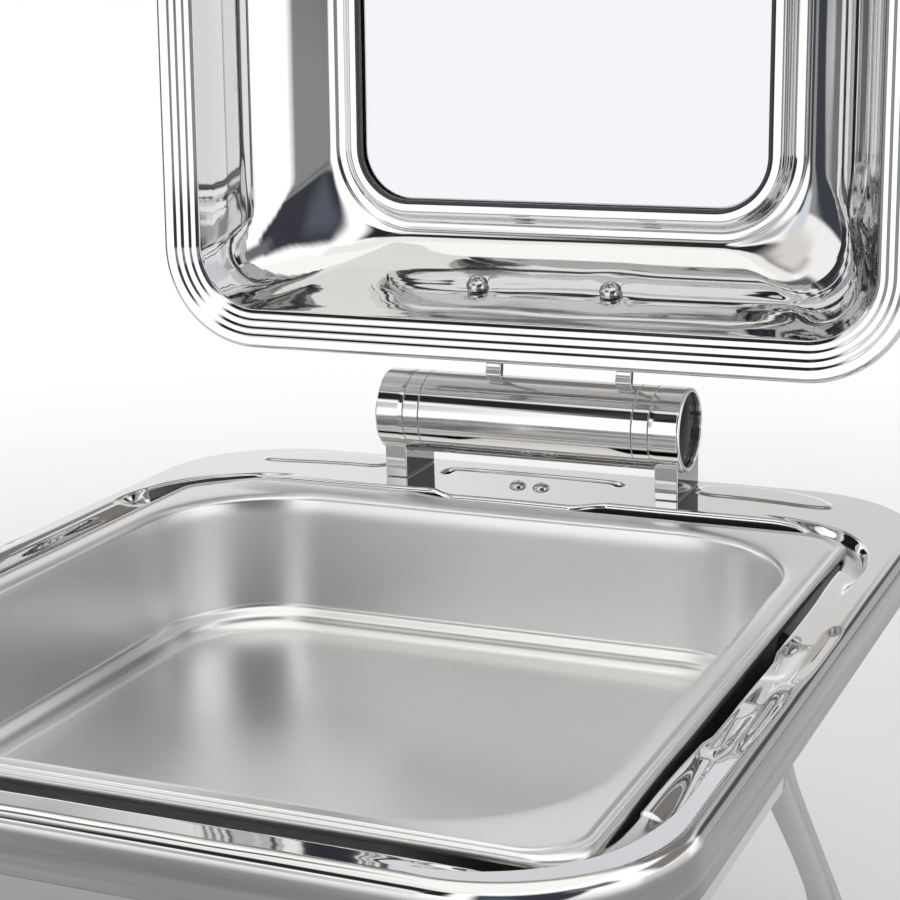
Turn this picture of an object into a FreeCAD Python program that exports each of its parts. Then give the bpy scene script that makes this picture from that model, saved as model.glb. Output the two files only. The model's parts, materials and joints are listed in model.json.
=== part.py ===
import FreeCAD, Part
import os, math

# Chafing dish with a hinged glass-window lid, standing on four splayed legs.
# All sizes in millimetres.  The geometry is drawn in a working frame whose
# origin is the middle of the food pan's flange plane (X right, Y to the hinge
# side, Z up) and is moved at export so that the origin is the centre of the
# footprint on the table.

V = FreeCAD.Vector

# ---- driving dimensions -------------------------------------------------
H_TABLE = 205.0            # flange plane above the table
PAN_X, PAN_Y = 162.5, 177.0    # half size of the food pan over its flange (325 x 354)
PAN_R = 16.0               # flange corner radius
OPEN_X, OPEN_Y, OPEN_R = 150.0, 164.0, 62.0   # half size of the pan's mouth
PAN_T = 1.0
PAN_DEPTH = 65.0
DECK_X = 192.0             # half width of the deck
DECK_YR, DECK_YF = 252.0, -208.0
DECK_R = 66.0
DECK_TOP = 1.0
DECK_T = 1.2
SKIRT = -20.0
HOLE_X, HOLE_YR, HOLE_YF = 170.8, 191.3, -186.0
HOLE_R = 62.0
SHELF_Z = -6.0             # corner shelves that carry the pan
WELL_FLOOR = -95.0
WELL_T = 1.0
HINGE_Y, HINGE_Z = 220.0, 32.8
BARREL_R = 20.3
SLEEVE_HALF = 54.4
RING_END = 62.7
CAP_END = 78.0
SHAFT_R = 6.0
OPEN_ANGLE = 91.6          # lid drawn open, this far from closed
LID_X, LID_Y = 188.0, 189.0
LID_R = 50.0
LID_T = 1.0
RIM_Z = 6.0                # rim plane of the closed lid
WIN_X, WIN_Y, WIN_R = 107.5, 121.0, 28.0
RING_Z0, RING_Z1 = -98.0, -78.0
LEG_T = 2.5
SHELF_PLATE_Z = -165.0
BURNER_R = 44.8
CAN_R = 42.5

os.makedirs("parts", exist_ok=True)
made = {}

# ---- helpers --------------------------------------------------------------
def cyl(r, p, d, h):
    return Part.makeCylinder(r, h, V(*p), V(*d))

def box(x0, x1, y0, y1, z0, z1):
    return Part.makeBox(x1 - x0, y1 - y0, z1 - z0, V(x0, y0, z0))

def revolve_z(pts, cx=0.0, cy=0.0):
    w = Part.makePolygon([V(cx + r, cy, z) for r, z in pts] + [V(cx + pts[0][0], cy, pts[0][1])])
    return Part.Face(w).revolve(V(cx, cy, 0), V(0, 0, 1), 360)

def revolve_x(pts, y=HINGE_Y, z=HINGE_Z):
    # pts are (x, r) pairs
    w = Part.makePolygon([V(x, y + r, z) for x, r in pts] + [V(pts[0][0], y + pts[0][1], z)])
    return Part.Face(w).revolve(V(0, y, z), V(1, 0, 0), 360)

def revolve_axis(pts, base, axis):
    # pts are (distance along axis, radius) pairs
    a = V(*axis); a.normalize()
    u = a.cross(V(1, 0, 0))
    if u.Length < 0.1:
        u = a.cross(V(0, 1, 0))
    u.normalize()
    b = V(*base)
    P = [b + a * s + u * r for s, r in pts]
    return Part.Face(Part.makePolygon(P + [P[0]])).revolve(b, a, 360)

def loop(points):
    # points: list of ("L", p0, p1) or ("A", p0, pm, p1)
    out = []
    for e in points:
        if e[0] == "L":
            out.append(Part.makeLine(e[1], e[2]))
        else:
            out.append(Part.Arc(e[1], e[2], e[3]).toShape())
    return out

def corner(cx, cy, r, a, z):
    t0, tm, t1 = math.radians(a), math.radians(a + 45), math.radians(a + 90)
    return ("A", V(cx + r * math.cos(t0), cy + r * math.sin(t0), z),
            V(cx + r * math.cos(tm), cy + r * math.sin(tm), z),
            V(cx + r * math.cos(t1), cy + r * math.sin(t1), z))

def rr(x, yf, yr, r, z, notch=None, tongue=None):
    # rounded rectangle, anticlockwise from the right front corner.  notch is
    # an outward step of both long sides, tongue an inward step at the rear.
    right = [(x, yf + r)]
    if notch is not None:
        right += [(x, -80.0), (x + notch, -66.0), (x + notch, 8.0), (x, 22.0)]
    right += [(x, yr - r)]
    rear = [(x - r, yr)]
    if tongue is not None:
        rear += [(47.0, yr), (30.0, yr - tongue), (-30.0, yr - tongue), (-47.0, yr)]
    rear += [(-(x - r), yr)]
    e = []
    for a, b in zip(right[:-1], right[1:]):
        e.append(("L", V(a[0], a[1], z), V(b[0], b[1], z)))
    e.append(corner(x - r, yr - r, r, 0, z))
    for a, b in zip(rear[:-1], rear[1:]):
        e.append(("L", V(a[0], a[1], z), V(b[0], b[1], z)))
    e.append(corner(-x + r, yr - r, r, 90, z))
    left = [(-p[0], p[1]) for p in right[::-1]]
    for a, b in zip(left[:-1], left[1:]):
        e.append(("L", V(a[0], a[1], z), V(b[0], b[1], z)))
    e.append(corner(-x + r, yf + r, r, 180, z))
    e.append(("L", V(-x + r, yf, z), V(x - r, yf, z)))
    e.append(corner(x - r, yf + r, r, 270, z))
    return loop(e)

def skin(wires, closed=True):
    # closed: the last row joins the first (a ring of sheet metal);
    # open: the first and last rows are capped (a vessel)
    faces = []
    n = len(wires)
    for i in (range(n) if closed else range(n - 1)):
        a, b = wires[i], wires[(i + 1) % n]
        for p, q in zip(a, b):
            faces.append(Part.makeRuledSurface(p, q))
    if not closed:
        faces.append(Part.Face(Part.Wire(wires[0])))
        faces.append(Part.Face(Part.Wire(wires[-1])))
    sh = Part.makeShell(faces)
    sh.sewShape(0.001)
    if sh.ShapeType != "Shell":
        sh = sh.Shells[0]
    s = Part.makeSolid(sh)
    if s.Volume < 0:
        s.reverse()
    return s

def put(name, shape, lid=False):
    s = shape.copy()
    if lid:
        s.rotate(V(0, HINGE_Y, HINGE_Z), V(1, 0, 0), -OPEN_ANGLE)
    made[name] = s

def group(shapes):
    return Part.makeCompound(shapes)

def hex_nut(af, h, bore, p, d):
    a = V(*d); a.normalize()
    r = af / math.sqrt(3)
    c = Part.makePolygon([V(r * math.cos(math.radians(60 * k)), r * math.sin(math.radians(60 * k)), 0) for k in range(7)])
    s = Part.Face(c).extrude(V(0, 0, h))
    s = s.cut(Part.makeCylinder(bore, h + 2, V(0, 0, -1)))
    s = s.common(Part.makeCone(r * 0.93 + h * 0.0, r * 1.35, h, V(0, 0, 0)).fuse(Part.makeCylinder(r * 0.93, h)))
    pl = FreeCAD.Placement(V(*p), FreeCAD.Rotation(V(0, 0, 1), a))
    s.Placement = pl
    return s

# ---- food pan: lift-out pan with a stacking step near its floor ---------------
def pan_rows(t):
    # inner face, then over the lip, then outer face
    r = OPEN_R
    inner = [(133.0, 147.0, 44.0, -65.0), (138.5, 152.5, 47.0, -63.6), (141.2, 155.2, 49.0, -60.5),
             (142.0, 156.0, 50.0, -57.6), (145.6, 159.6, 54.0, -55.0), (146.2, 160.2, 55.0, -50.0),
             (149.0, 163.0, 60.0, -6.0), (150.0, 164.0, 61.0, -2.2), (152.0, 166.0, 62.0, -0.3),
             (153.4, 167.4, 62.0, 0.0),
             (157.6, 172.0, 17.0, 0.0), (160.4, 174.8, 16.6, -0.6), (162.1, 176.6, 16.2, -2.2),
             (PAN_X, PAN_Y, PAN_R, -4.2), (PAN_X, PAN_Y, PAN_R, SHELF_Z)]
    outer = [(PAN_X - t, PAN_Y - t, PAN_R - t, SHELF_Z), (PAN_X - t, PAN_Y - t, PAN_R - t, -4.2),
             (161.2, 175.7, 15.4, -2.8), (159.9, 174.2, 15.8, -1.5), (157.4, 171.8, 16.2, -t),
             (153.6, 167.6, 61.2, -t), (152.4, 166.4, 61.6, -1.2), (151.0, 165.0, 61.6, -2.8),
             (150.0, 164.0, 61.0, -6.4),
             (147.2, 161.2, 56.0, -50.2), (146.5, 160.5, 55.0, -55.8), (143.0, 157.0, 51.0, -58.4),
             (142.2, 156.2, 50.0, -61.0), (139.2, 153.2, 47.6, -64.6), (133.2, 147.2, 44.2, -66.0)]
    return [rr(x, -y, y, q, z) for x, y, q, z in inner + outer]

put("food_pan", skin(pan_rows(PAN_T), closed=False))

# ---- deck: the pressed frame round the pan ------------------------------------
t = DECK_T
deck_rows = [
    rr(DECK_X, DECK_YF, DECK_YR, DECK_R, SKIRT, 0.0, 0.0),
    rr(DECK_X, DECK_YF, DECK_YR, DECK_R, -3.0, 0.0, 0.0),
    rr(191.0, -207.0, 251.0, 65.0, -0.4, 0.0, 0.0),
    rr(189.4, -205.4, 249.4, 63.4, 0.7, 0.0, 0.0),
    rr(187.4, -203.4, 247.4, 61.4, DECK_TOP, 0.0, 0.0),
    rr(174.6, -189.8, 195.1, 40.0, DECK_TOP, 6.0, 10.0),
    rr(172.9, -188.1, 193.4, 39.0, 0.1, 6.0, 10.0),
    rr(171.9, -187.1, 192.4, 38.4, -2.0, 6.0, 10.0),
    rr(171.4, -186.6, 191.9, 38.0, SHELF_Z, 6.0, 10.0),
    rr(HOLE_X, HOLE_YF, HOLE_YR, HOLE_R, SHELF_Z, 6.0, 10.0),
    rr(HOLE_X, HOLE_YF, HOLE_YR, HOLE_R, SHELF_Z - t, 6.0, 10.0),
    rr(172.6, -187.8, 193.1, 39.2, SHELF_Z - t, 6.0, 10.0),
    rr(173.1, -188.3, 193.6, 39.6, -2.4, 6.0, 10.0),
    rr(173.9, -189.1, 194.4, 40.2, -0.8, 6.0, 10.0),
    rr(175.0, -190.2, 195.5, 41.0, DECK_TOP - t, 6.0, 10.0),
    rr(187.0, -203.0, 247.0, 61.0, DECK_TOP - t, 0.0, 0.0),
    rr(188.6, -204.6, 248.6, 62.6, -0.5, 0.0, 0.0),
    rr(189.9, -205.9, 249.9, 63.9, -1.4, 0.0, 0.0),
    rr(DECK_X - t, DECK_YF + t, DECK_YR - t, DECK_R - t, -3.4, 0.0, 0.0),
    rr(DECK_X - t, DECK_YF + t, DECK_YR - t, DECK_R - t, SKIRT, 0.0, 0.0),
]
deck = skin(deck_rows)
BOLT_XY = [(sx * 69.75, y) for sx in (-1, 1) for y in (215.0, 232.0)]
SCREW_XY = [(-6.05, 209.2), (6.05, 209.2)]
for x, y in BOLT_XY:
    deck = deck.cut(cyl(2.6, (x, y, -4), (0, 0, 1), 8))
for x, y in SCREW_XY:
    deck = deck.cut(cyl(2.1, (x, y, -4), (0, 0, 1), 8))
put("deck_frame", deck)

# ---- water pan: hangs under the deck and holds the hot water ----------------
well_in = [(132.0, 146.0, -146.0, 34.0, WELL_FLOOR), (139.0, 153.0, -153.0, 41.0, -93.4),
           (143.4, 157.4, -157.4, 44.0, -88.0), (146.0, 160.0, -160.0, 45.0, -78.0),
           (150.6, 164.6, -164.6, 47.0, -60.0), (156.0, 171.0, -170.0, 52.0, -40.0),
           (166.5, 184.5, -181.0, 58.0, -20.0), (169.6, 189.6, -184.6, 61.0, -12.0),
           (HOLE_X, HOLE_YR, HOLE_YF, HOLE_R, SHELF_Z - t)]
well_out = [(183.0, 203.0, -198.0, 66.0, SHELF_Z - t), (183.0, 203.0, -198.0, 66.0, SHELF_Z - t - 1.0),
            (172.0, 192.5, -187.2, 62.6, SHELF_Z - t - 1.0), (170.7, 190.7, -185.7, 61.6, -12.4),
            (167.4, 185.4, -181.9, 58.6, -20.6), (156.9, 171.9, -170.9, 52.6, -40.6),
            (151.6, 165.6, -165.6, 47.8, -60.4), (147.0, 161.0, -161.0, 46.0, -78.2),
            (144.4, 158.4, -158.4, 45.0, -88.4), (139.8, 153.8, -153.8, 41.8, -94.2),
            (132.3, 146.3, -146.3, 34.3, WELL_FLOOR - WELL_T)]
put("water_pan", skin([rr(x, yf, yr, r, z) for x, yr, yf, r, z in well_in + well_out], closed=False))

# ---- hinge: brackets, barrel and what is inside it ----------------------------
def x_span(a, b, side):
    return (a, b) if side > 0 else (-b, -a)

barrel_cut = Part.makeCylinder(BARREL_R, 200, V(-100, HINGE_Y, HINGE_Z), V(1, 0, 0))
for side, tag in ((-1, "left"), (1, "right")):
    x0, x1 = x_span(64.0, 75.5, side)
    leg = box(x0, x1, 206.5, 241.0, DECK_TOP, 24.0).cut(barrel_cut)
    leg = max(leg.Solids, key=lambda s: s.Volume)
    leg = leg.makeFillet(1.0, [e for e in leg.Edges if len(e.Vertexes) == 2 and
                               abs(e.Vertexes[0].X - e.Vertexes[1].X) < 1e-6 and
                               abs(e.Vertexes[0].Y - e.Vertexes[1].Y) < 1e-6])
    for y in (215.0, 232.0):
        leg = leg.cut(cyl(2.5, (side * 69.75, y, 0), (0, 0, 1), 9.5))
    put("hinge_bracket_" + tag, leg)
    # end cap: cup with a recessed outer face for the plug
    s = side
    cap = revolve_x([(s * 62.8, 6.02), (s * 62.8, BARREL_R), (s * 76.6, BARREL_R), (s * 77.5, BARREL_R - 0.4),
                     (s * CAP_END, BARREL_R - 1.3), (s * CAP_END, 18.3), (s * 77.6, 17.75), (s * 73.4, 17.75),
                     (s * 73.4, 6.02)])
    put("end_cap_" + tag, cap)
    plug = revolve_x([(s * 73.4, 0.0), (s * 73.4, 17.7), (s * 74.9, 17.7), (s * 75.3, 17.2), (s * 75.6, 9.0), (s * 75.7, 0.0)])
    put("end_plug_" + tag, plug)
    ring = revolve_x([(s * 54.7, 17.0), (s * 54.7, BARREL_R - 0.25), (s * 54.95, BARREL_R), (s * 62.45, BARREL_R),
                      (s * RING_END, BARREL_R - 0.25), (s * RING_END, 17.0)])
    put("barrel_ring_" + tag, ring)
    bush = revolve_x([(s * 46.0, SHAFT_R + 0.05), (s * 46.0, 17.55), (s * SLEEVE_HALF, 17.55), (s * SLEEVE_HALF, SHAFT_R + 0.05)])
    put("bearing_bush_" + tag, bush)

put("hinge_shaft", revolve_x([(-73.0, 0), (-73.0, 5.3), (-72.3, SHAFT_R), (72.3, SHAFT_R), (73.0, 5.3), (73.0, 0)]))
put("hinge_sleeve", revolve_x([(-SLEEVE_HALF, 17.6), (-SLEEVE_HALF, BARREL_R - 0.25), (-SLEEVE_HALF + 0.25, BARREL_R),
                               (SLEEVE_HALF - 0.25, BARREL_R), (SLEEVE_HALF, BARREL_R - 0.25), (SLEEVE_HALF, 17.6)]))
put("damper_housing", revolve_x([(6.0, 9.05), (6.0, 17.55), (43.0, 17.55), (43.0, 9.05)]))
put("damper_rotor", revolve_x([(5.0, 6.02), (5.0, 9.0), (44.0, 9.0), (44.0, 6.02)]))

helix = Part.makeHelix(3.4, 37.4, 11.0)
wire_r = 1.3
prof = Part.Wire(Part.Circle(V(11.0, 0, 0), V(0, 1, 0), wire_r).toShape())
spring = Part.Wire(helix).makePipeShell([prof], True, True)
spring.rotate(V(0, 0, 0), V(0, 1, 0), 90)
spring.translate(V(-42.0, HINGE_Y, HINGE_Z))
put("torsion_spring", spring)

plate = box(-82.0, 82.0, 204.5, 243.5, DECK_TOP - DECK_T - 2.5, DECK_TOP - DECK_T)
PLATE_Z = DECK_TOP - DECK_T - 2.5
for x, y in BOLT_XY:
    plate = plate.cut(cyl(2.6, (x, y, -6), (0, 0, 1), 10))
for x, y in SCREW_XY:
    plate = plate.cut(cyl(2.1, (x, y, -6), (0, 0, 1), 10))
put("hinge_backing_plate", plate)

bolts = []
for x, y in BOLT_XY:
    b = revolve_axis([(-4.6, 0), (-4.6, 3.9), (-4.2, 4.25), (0, 4.25), (0, 2.5), (12.0, 2.5), (12.0, 0)], (x, y, PLATE_Z), (0, 0, 1))
    hexc = Part.Face(Part.makePolygon([V(x + 2.3 * math.cos(math.radians(60 * k)), y + 2.3 * math.sin(math.radians(60 * k)), PLATE_Z - 5.0) for k in range(7)])).extrude(V(0, 0, 2.9))
    bolts.append(b.cut(hexc))
put("bracket_bolts", group(bolts))

screws, nuts = [], []
for x, y in SCREW_XY:
    b = revolve_axis([(0, 0), (0, 4.2), (0.9, 4.15), (1.8, 3.5), (2.4, 2.2), (2.6, 0)], (x, y, DECK_TOP), (0, 0, 1))
    b = b.fuse(cyl(2.0, (x, y, -10.5), (0, 0, 1), 10.5 + DECK_TOP))
    a1 = box(x - 2.3, x + 2.3, y - 0.42, y + 0.42, DECK_TOP + 1.1, DECK_TOP + 4)
    a2 = box(x - 0.42, x + 0.42, y - 2.3, y + 2.3, DECK_TOP + 1.1, DECK_TOP + 4)
    screws.append(b.cut(a1).cut(a2))
    nuts.append(hex_nut(7.0, 3.2, 2.02, (x, y, PLATE_Z - 3.2), (0, 0, 1)))
put("deck_screws", group(screws))
put("deck_nuts", group(nuts))

# ---- lid, drawn closed and turned open at export ------------------------------
WALL = [(0.0, 2.0), (0.05, 9.0), (0.12, 18.0), (0.25, 30.0), (0.50, 43.0), (0.65, 50.0), (0.80, 55.5), (0.90, 58.2), (1.0, 60.0)]
def lid_row(o, z, oy=None, r=None):
    x = LID_X - o
    y = LID_Y - (o if oy is None else oy)
    return (x, y, max(LID_R - o, 8.0) if r is None else r, z)

lid_in = [lid_row(0.9, 2.6), lid_row(1.6, 1.7), lid_row(4.4, 1.7), lid_row(5.5, 3.8), lid_row(9.0, 4.2), lid_row(9.7, 6.0),
          lid_row(12.6, 6.2), lid_row(13.4, 7.6), lid_row(15.4, 7.6), lid_row(16.2, 6.6), lid_row(19.0, 6.8)]
for tt, d in WALL:
    lid_in.append(lid_row(19.5 + 46.5 * tt, RIM_Z + d, 19.5 + 34.5 * tt, 30.5 + 12.0 * tt))
# raised channel round the window, then the glazing flange
lid_in += [(121.2, 134.6, 41.7, RIM_Z + 61.0), (115.2, 128.6, 35.7, RIM_Z + 61.0), (114.3, 127.8, 34.8, RIM_Z + 59.6),
           (112.2, 125.7, 32.7, RIM_Z + 54.4), (111.2, 124.7, 31.7, RIM_Z + 53.8), (105.5, 119.0, 26.0, RIM_Z + 53.8)]
lid_out = [(105.5, 119.0, 26.0, RIM_Z + 54.8), (110.8, 124.3, 31.3, RIM_Z + 54.8), (111.3, 124.8, 31.8, RIM_Z + 55.2),
           (113.5, 127.0, 34.0, RIM_Z + 60.2), (114.8, 128.2, 35.3, RIM_Z + 62.0), (121.6, 135.0, 42.1, RIM_Z + 62.0)]
for tt, d in WALL[::-1]:
    k = 1.0 - tt
    # outer face: the inner face moved out along its slope
    nx = {1.0: 0.45, 0.90: 0.52, 0.80: 0.62, 0.65: 0.72, 0.50: 0.83, 0.25: 0.86, 0.12: 0.95, 0.05: 1.0, 0.0: 1.0}[tt]
    nz = {1.0: 0.95, 0.90: 0.92, 0.80: 0.86, 0.65: 0.74, 0.50: 0.555, 0.25: 0.52, 0.12: 0.40, 0.05: 0.45, 0.0: 1.0}[tt]
    lid_out.append((LID_X - (19.5 + 46.5 * tt) + nx, LID_Y - (19.5 + 34.5 * tt) + nx, 30.5 + 12.0 * tt + nx, RIM_Z + d + nz))
lid_out += [lid_row(15.6, 8.7), lid_row(13.0, 8.7), lid_row(12.1, 7.2), lid_row(8.9, 7.0), lid_row(8.3, 5.2),
            lid_row(4.9, 4.8), lid_row(3.9, 2.8), lid_row(2.1, 2.8), lid_row(1.9, 3.4)]
lid_out += [lid_row(0.9, 3.4)]
lid_shell = skin([rr(x, -y, y, r, z) for x, y, r, z in lid_in + lid_out])

WN = V(0, 0.833, 0.554)              # outward normal of the rear wall where the arms sit
WP = V(0, 157.26, 41.42)             # point just off its inner face
FN, FP = V(0, -0.833, 0.554), V(0, -157.26, 41.42)
def at(x, p, n, s):
    return (x, p.y + n.y * s, p.z + n.z * s)

arm_profile = [(161.15, 37.43), (164.5, 39.6), (164.3, 45.4), (178.0, 55.0), (194.0, 61.4), (203.0, 61.2),
               (208.0, 57.4), (209.2, 49.0), (213.8, 50.5), (212.6, 60.0), (206.2, 65.4), (194.0, 65.9), (176.0, 59.6),
               (158.6, 52.2), (156.7, 51.3), (153.4, 49.1)]
dome_profile = [(0, 0), (0, 4.0), (-0.9, 3.9), (-1.9, 3.3), (-2.7, 2.0), (-3.0, 0)]
arm_screws = []
for side, tag in ((-1, "left"), (1, "right")):
    x0, x1 = x_span(30.4, 38.4, side)
    w = Part.makePolygon([V(x0, y, z) for y, z in arm_profile + arm_profile[:1]])
    arm = Part.Face(w).extrude(V(x1 - x0, 0, 0))
    arm = arm.cut(Part.makeCylinder(BARREL_R, 200, V(-100, HINGE_Y, HINGE_Z), V(1, 0, 0)))
    arm = max(arm.Solids, key=lambda s: s.Volume)
    xc = side * 34.4
    hole = cyl(2.0, at(xc, WP, WN, -4), (0, WN.y, WN.z), 9.4)
    arm = arm.cut(hole)
    lid_shell = lid_shell.cut(hole)
    put("lid_arm_" + tag, arm, lid=True)
    s = revolve_axis(dome_profile, at(xc, WP, WN, 0), (0, WN.y, WN.z))
    s = s.fuse(cyl(1.96, at(xc, WP, WN, -0.5), (0, WN.y, WN.z), 5.5))
    rec = Part.Face(Part.makePolygon([V(1.5 * math.cos(math.radians(60 * k)), 1.5 * math.sin(math.radians(60 * k)), 0) for k in range(7)])).extrude(V(0, 0, 4))
    rec.Placement = FreeCAD.Placement(V(*at(xc, WP, WN, -5.4)), FreeCAD.Rotation(V(0, 0, 1), WN))
    arm_screws.append(s.cut(rec))
put("arm_screws", group(arm_screws), lid=True)

# handle on the front wall
HANDLE_OUT = 34.0
bar_c = FP + FN * HANDLE_OUT
bar = Part.makeCylinder(6.5, 136.0, V(-68.0, bar_c.y, bar_c.z), V(1, 0, 0))
bar = bar.fuse(Part.makeSphere(6.5, V(-68.0, bar_c.y, bar_c.z))).fuse(Part.makeSphere(6.5, V(68.0, bar_c.y, bar_c.z))).removeSplitter()
hscrews, hwashers = [], []
for side, tag in ((-1, "left"), (1, "right")):
    xc = side * 52.0
    axis = (0, FN.y, FN.z)
    post = revolve_axis([(1.06, 0), (1.06, 8.0), (2.6, 8.0), (4.6, 5.4), (9.0, 4.6), (HANDLE_OUT, 4.6), (HANDLE_OUT, 0)], (xc, FP.y, FP.z), axis)
    post = post.cut(Part.makeCylinder(6.5, 200, V(-100, bar_c.y, bar_c.z), V(1, 0, 0)))
    post = max(post.Solids, key=lambda s: s.Volume)
    post = post.cut(cyl(2.5, at(xc, FP, FN, 0), axis, 14.0))
    put("handle_post_" + tag, post, lid=True)
    lid_shell = lid_shell.cut(cyl(2.5, at(xc, FP, FN, -3), axis, 8))
    wsh = revolve_axis([(-0.6, 2.55), (-0.6, 5.6), (0.0, 6.0), (0.0, 2.55)], (xc, FP.y, FP.z), axis)
    hwashers.append(wsh)
    s = revolve_axis([(-0.6, 0), (-0.6, 4.5), (-1.6, 4.4), (-2.6, 3.6), (-3.3, 2.2), (-3.6, 0)], (xc, FP.y, FP.z), axis)
    s = s.fuse(cyl(2.5, at(xc, FP, FN, -1.0), axis, 13.5))
    rec = Part.Face(Part.makePolygon([V(1.7 * math.cos(math.radians(60 * k)), 1.7 * math.sin(math.radians(60 * k)), 0) for k in range(7)])).extrude(V(0, 0, 4))
    rec.Placement = FreeCAD.Placement(V(*at(xc, FP, FN, -6.0)), FreeCAD.Rotation(V(0, 0, 1), FN))
    hscrews.append(s.cut(rec))
put("handle_bar", bar, lid=True)
put("handle_screws", group(hscrews), lid=True)
put("handle_washers", group(hwashers), lid=True)
put("lid_shell", lid_shell, lid=True)

# glazing: glass pane in a rubber profile, held down by a trim ring
def win(x, z):
    return rr(x, -(x + 13.5), x + 13.5, x - 79.5, z)
gz = RIM_Z
put("window_glass", skin([win(109.9, gz + 55.8), win(109.9, gz + 59.8)], closed=False), lid=True)
put("window_gasket", skin([win(102.7, gz + 52.9), win(107.5, gz + 52.9), win(107.5, gz + 53.8), win(105.4, gz + 53.8),
                           win(105.4, gz + 54.85), win(110.7, gz + 54.85), win(110.7, gz + 58.4), win(110.0, gz + 58.4),
                           win(110.0, gz + 55.8), win(102.7, gz + 55.8)]), lid=True)
put("window_trim", skin([win(104.0, gz + 59.8), win(110.8, gz + 59.8), win(111.8, gz + 59.4), win(112.6, gz + 60.6),
                         win(111.6, gz + 61.2), win(104.6, gz + 61.2), win(104.0, gz + 60.8)]), lid=True)

# ---- stand: ring, four splayed legs, feet, burner shelf ------------------------
def srr(x, z, r=None):
    return rr(x, -(x + 14.0), x + 14.0, (x - 103.0) if r is None else r, z)
ring = skin([srr(148.3, RING_Z1), srr(150.3, RING_Z1), srr(150.3, RING_Z0), srr(122.0, RING_Z0, 22.0),
             srr(122.0, RING_Z0 + 2.0, 22.0), srr(148.3, RING_Z0 + 2.0)])

LEG_PATH = [(-78.0, 0.0, 27.0, 50.0), (-86.0, 0.0, 27.0, 50.0), (-92.0, 0.5, 26.5, 50.0), (-100.0, 2.0, 26.0, 50.0), (-109.0, 4.4, 25.5, 50.0),
            (-122.0, 8.0, 24.0, 50.0), (-138.0, 12.6, 22.0, 50.0), (-155.0, 17.6, 20.5, 50.0), (-172.0, 22.2, 20.0, 50.0),
            (-184.0, 24.6, 20.5, 50.0), (-190.0, 25.0, 21.0, 50.0), (-201.5, 25.0, 21.0, 50.0)]
def sector(cx, cy, r0, r1, a0, a1, z):
    def P(r, a):
        return V(cx + r * math.cos(math.radians(a)), cy + r * math.sin(math.radians(a)), z)
    am = 0.5 * (a0 + a1)
    return loop([("A", P(r1, a0), P(r1, am), P(r1, a1)), ("L", P(r1, a1), P(r0, a1)),
                 ("A", P(r0, a1), P(r0, am), P(r0, a0)), ("L", P(r0, a0), P(r1, a0))])

rivets = []
ring_cut = ring
for name, sx, sy, mid in (("front_right", 1, -1, -45), ("rear_right", 1, 1, 45), ("rear_left", -1, 1, 135), ("front_left", -1, -1, 225)):
    rows = []
    for z, d, half, r in LEG_PATH:
        rows.append(sector(sx * (103.0 + d), sy * (117.0 + d), r - LEG_T, r, mid - half, mid + half, z))
    leg = skin(rows, closed=False)
    for da in (-13.0, 13.0):
        a = math.radians(mid + da)
        dx, dy = math.cos(a), math.sin(a)
        p = (sx * 103.0, sy * 117.0, -82.0)
        start = (p[0] + 44.0 * dx, p[1] + 44.0 * dy, p[2])
        hole = cyl(2.0, start, (dx, dy, 0), 8.0)
        leg = leg.cut(hole)
        ring_cut = ring_cut.cut(hole)
        rv = revolve_axis([(44.2, 0), (44.2, 3.0), (45.12, 3.4), (45.12, 1.97), (50.02, 1.97), (50.02, 3.9), (50.8, 3.7), (51.5, 2.6), (51.9, 0)],
                          (p[0], p[1], p[2]), (dx, dy, 0))
        rivets.append(rv)
    put("leg_" + name, leg)
    z, d, half, r = LEG_PATH[-1]
    cx, cy = sx * (103.0 + d), sy * (117.0 + d)
    foot = skin([sector(cx, cy, 44.6, 53.0, mid - 24.5, mid + 24.5, -H_TABLE),
                 sector(cx, cy, 44.2, 53.4, mid - 25.0, mid + 25.0, -H_TABLE + 1.0),
                 sector(cx, cy, 45.6, 52.0, mid - 23.5, mid + 23.5, -192.5)], closed=False)
    slot = skin([sector(cx, cy, r - LEG_T - 0.0, r, mid - half, mid + half, -201.5),
                 sector(cx, cy, r - LEG_T - 0.0, r, mid - half, mid + half, -191.0)], closed=False)
    put("foot_" + name, foot.cut(slot))
put("stand_ring", ring_cut)
put("leg_rivets", group(rivets))

u = [(-144.0, -98.0), (-144.0, -99.5), (-127.5, -99.5), (-127.5, SHELF_PLATE_Z - 1.5), (127.5, SHELF_PLATE_Z - 1.5),
     (127.5, -99.5), (144.0, -99.5), (144.0, -98.0), (126.0, -98.0), (126.0, SHELF_PLATE_Z), (-126.0, SHELF_PLATE_Z), (-126.0, -98.0)]
shelf = Part.Face(Part.makePolygon([V(x, -54.0, z) for x, z in u + u[:1]])).extrude(V(0, 108.0, 0))
shelf = shelf.cut(cyl(45.5, (0, 0, SHELF_PLATE_Z - 5), (0, 0, 1), 10))
put("burner_shelf", shelf)

# ---- burner: cup, fuel can, swivelling cover --------------------------------------
zp = SHELF_PLATE_Z
cup = revolve_z([(0, -199.5), (BURNER_R - 1.5, -199.5), (BURNER_R, -198.0), (BURNER_R, zp), (50.5, zp), (50.5, zp + 1.2),
                 (43.6, zp + 1.2), (43.6, -197.6), (42.6, -198.5), (0, -198.5)])
cup = cup.cut(cyl(1.6, (-47.6, 0, zp - 3), (0, 0, 1), 8))
put("burner_cup", cup)
put("fuel_can", revolve_z([(0, -198.5), (41.9, -198.5), (CAN_R, -197.6), (CAN_R, -196.2), (41.9, -195.6), (41.9, -149.2), (CAN_R, -148.4),
                           (CAN_R, -146.6), (42.0, -146.0), (41.0, -146.0), (40.6, -147.4), (34.0, -148.0), (33.0, -149.0), (33.0, -149.8),
                           (34.2, -149.0), (41.1, -148.6), (41.1, -197.7), (0, -197.7)]))
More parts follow.
